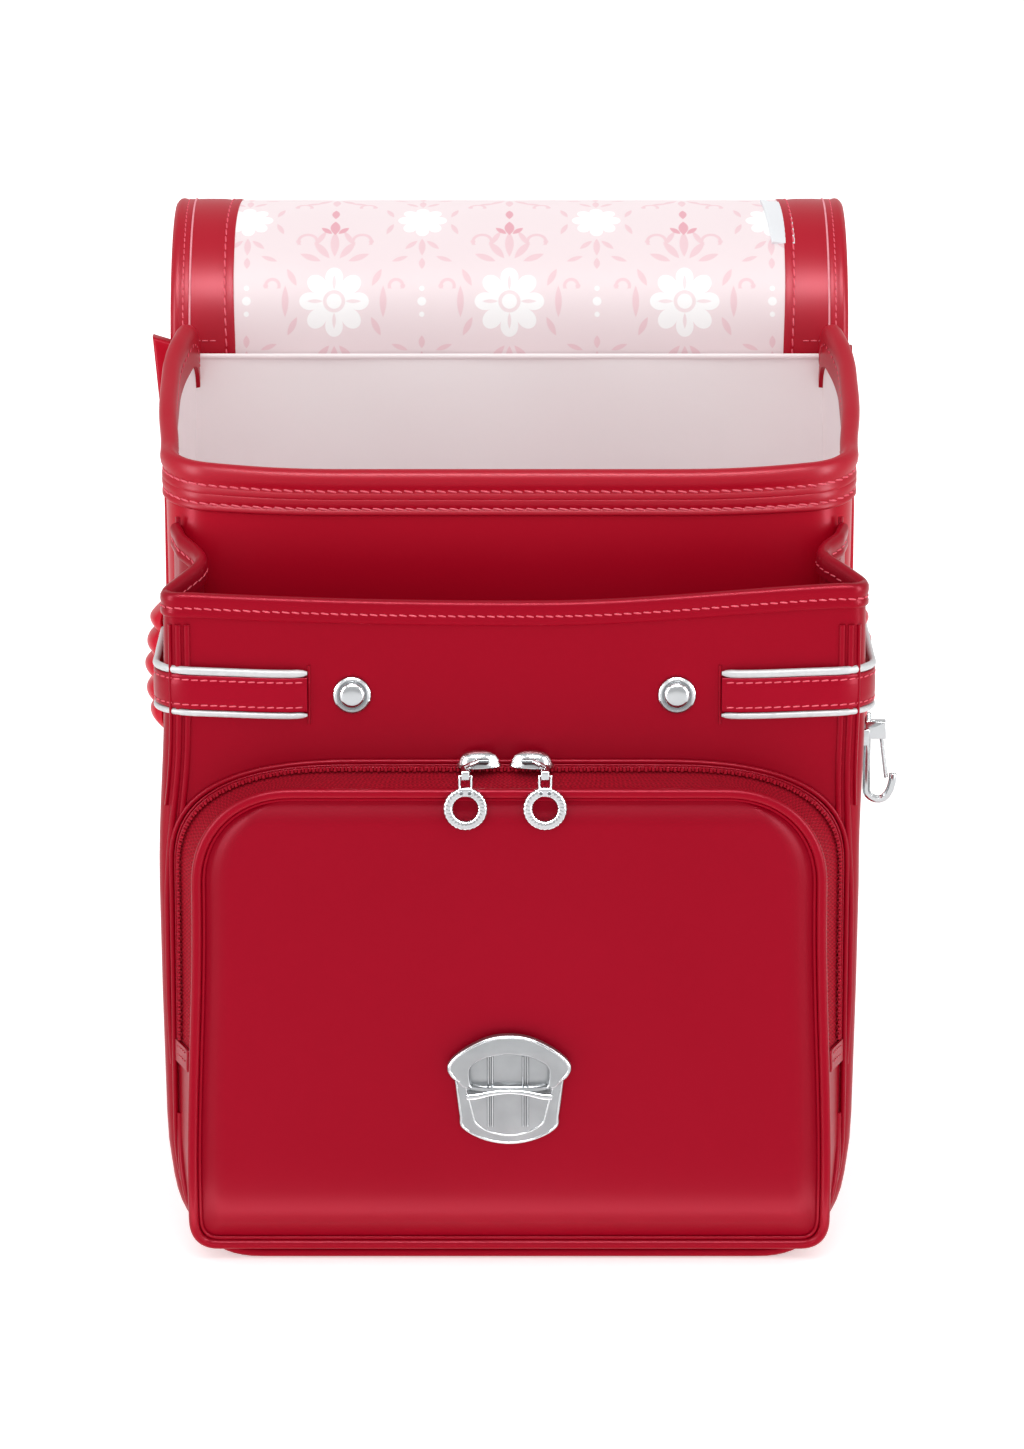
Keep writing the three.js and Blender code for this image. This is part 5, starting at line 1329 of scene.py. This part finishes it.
# Edge borders and reinforcement strips of the flap
# The border is rolled over a cord and sewn close to its raw, lighter inner edge; the strip inside it
# widens over the roll and is sewn along its inner edge and across its lower end.
raw_edge_finish = Finish("raw_leather_edge", Roughness=0.6, Specular_IOR_Level=0.3)
raw_edge_finish.feed(Base_Color=raw_edge_finish.noise(400.0).blend(srgb(226, 120, 134), srgb(240, 168, 178)))
STRIP_EDGE, BORDER_EDGE = 123.8, 124.2
border_profile = [
    (0.0, 1.6), (0.06, 2.7), (0.2, 3.7), (0.34, 3.9), (0.48, 3.7), (0.58, 3.4), (0.64, 3.3), (0.72, 3.5),
    (0.9, 3.6), (1.0, 3.3),
]
strip_profile = [
    (0.0, 3.5), (0.2, 3.65), (0.62, 3.6), (0.74, 3.3), (0.78, 3.2), (0.83, 3.5), (0.95, 3.6), (1.0, 3.3),
]


def strip_inner(along):
    """How far from the flap's middle line the strip's inner edge runs."""
    return STRIP_EDGE - 17.6 + 0.9 * float(step(along, -7, 30)) - 1.7 * float(step(along, 45, 95))


for word, side in SIDES:
    for label, outer, inner, profile in (
        ("border", lambda s: side * FLAP_HALF, lambda s: side * BORDER_EDGE, border_profile),
        ("strip", lambda s: side * STRIP_EDGE, lambda s: side * strip_inner(s), strip_profile),
    ):
        name, node = "flap_" + label + "_leather_" + word, "flap_" + label + "_" + word
        flap_sheet(name, flap_steps, outer, inner, profile, band_leather, "leather", (node,))
    raw = [flap_point(side * 124.0, s, 3.6) for s in flap_steps]
    rolled = [(0, y - ROLL_DEPTH, z - ROLL_HEIGHT) for _, y, z in raw]
    hint = [out if s < 160 else (0, 1, 0) for out, s in zip(rolled, flap_steps)]
    bead("flap_raw_edge_" + word, raw, hint, 0.38, 0.3, raw_edge_finish.material, "leather")
    fine = list(np.arange(-4, 370, 2.0))
    outer_line = [flap_point(side * 126.6, s, 3.35) for s in fine]
    inner_line = [flap_point(side * (strip_inner(s) + 3.5), s, 3.4) for s in fine]
    lower_line = [flap_point(side * x, 2.5, 3.7) for x in np.linspace(122.5, 110.4, 8)]
    normals = [np.array(flap_point(0, s, 1)) - np.array(flap_point(0, s, 0)) for s in fine]
    stitch_piece(
        "flap_stitches_" + word,
        stitch_row(outer_line, normals, pitch=3.0, length=2.2, wide=0.3, high=0.26, tilt=5),
        stitch_row(inner_line, normals, length=3.1, wide=0.36, high=0.3, tilt=5),
        stitch_row(lower_line, [normals[0]] * 8, pitch=3.0, length=2.4, wide=0.3, high=0.25, tilt=0),
    )


def leather_copy(node, name, **rounding):
    return placed(dressed(node, name, **rounding), main_leather, "leather", node)


for node in ("flap_end_hem", "flap_tongue"):
    leather_copy(node, node + "_leather")
catch = steel_piece("flap_catch_plate", "flap_catch_plate_steel", segments=3)
placed(catch, bright_chrome, "chrome", "flap_catch_plate")


# Label
# A blank white woven tab near the top of the roll, sewn in under the inner edge of the right strip,
# with its free edge standing up a little.
LABEL_START, LABEL_END = 42, 74
label_cloth = cloth_finish("label_cloth", srgb(238, 240, 243), srgb(228, 230, 234), weave=1700.0)


def label_edge(x):
    return lambda s: x - 3.2 * (s - LABEL_START) / (LABEL_END - LABEL_START)


label = flap_sheet(
    "flap_label_woven", np.linspace(LABEL_START, LABEL_END, 14), label_edge(102.2), label_edge(112.4),
    [(0, 4.4), (0.15, 4.3), (0.35, 3.6), (1, 3.2)], label_cloth, "label", ("flap_label",),
)


# Back panel and straps
# The side that lies on the wearer's back: a padded leather panel, an anchor for the straps near its
# top, two padded shoulder straps, and two lower straps that end at rings on the panel.
panel = dressed("back_panel", "back_panel_padded", levels=3, crease=60)
for corner in panel.data.vertices:
    x, z = corner.co.x / MM, corner.co.z / MM
    wing = float(step(abs(x), 120, 129))
    flare = [0, 0.8, 2.2, 3.6] if x < 0 else [0, -1.6, -2.0, -1.8]
    out = wing * float(np.interp(z, [262, 288, 300, 306], flare))
    rise = wing * (4.5 if x < 0 else 0.4) * float(step(z, 285, 306))
    rise -= (1 - wing) * 7.0 * float(step(z, 290, 306))
    corner.co.x += math.copysign(MM, x) * out
    corner.co.z += rise * MM
placed(panel, main_leather, "leather", "back_panel")
leather_copy("strap_anchor", "strap_anchor_leather")
for word, side in SIDES:
    strap = leather_copy("shoulder_strap_" + word, "shoulder_strap_padded_" + word, crease=80)
    leather_copy("lower_strap_" + word, "lower_strap_leather_" + word, crease=60)
    ring = steel_piece("lower_ring_" + word, "lower_ring_steel_" + word, width=0.8, segments=3)
    smooth(ring, 50)
    placed(ring, bright_chrome, "chrome", "lower_ring_" + word)
PANEL_BACK, PANEL_SEAM = 76.3, 291
panel_line = [(x, PANEL_BACK, z) for x, z in u_outline(126, 9, 288, 30, 46, side=20, corner=14, base=20)]
panel_line += [(x, PANEL_BACK, PANEL_SEAM) for x in np.linspace(120, -120, 24)]
panel_out = np.broadcast_to((0.0, 1.0, 0.0), (len(panel_line), 3))
panel_stitches = stitch_row(panel_line, panel_out, length=3.1, wide=0.36, high=0.3, tilt=0)
stitch_piece("back_panel_stitches", panel_stitches)
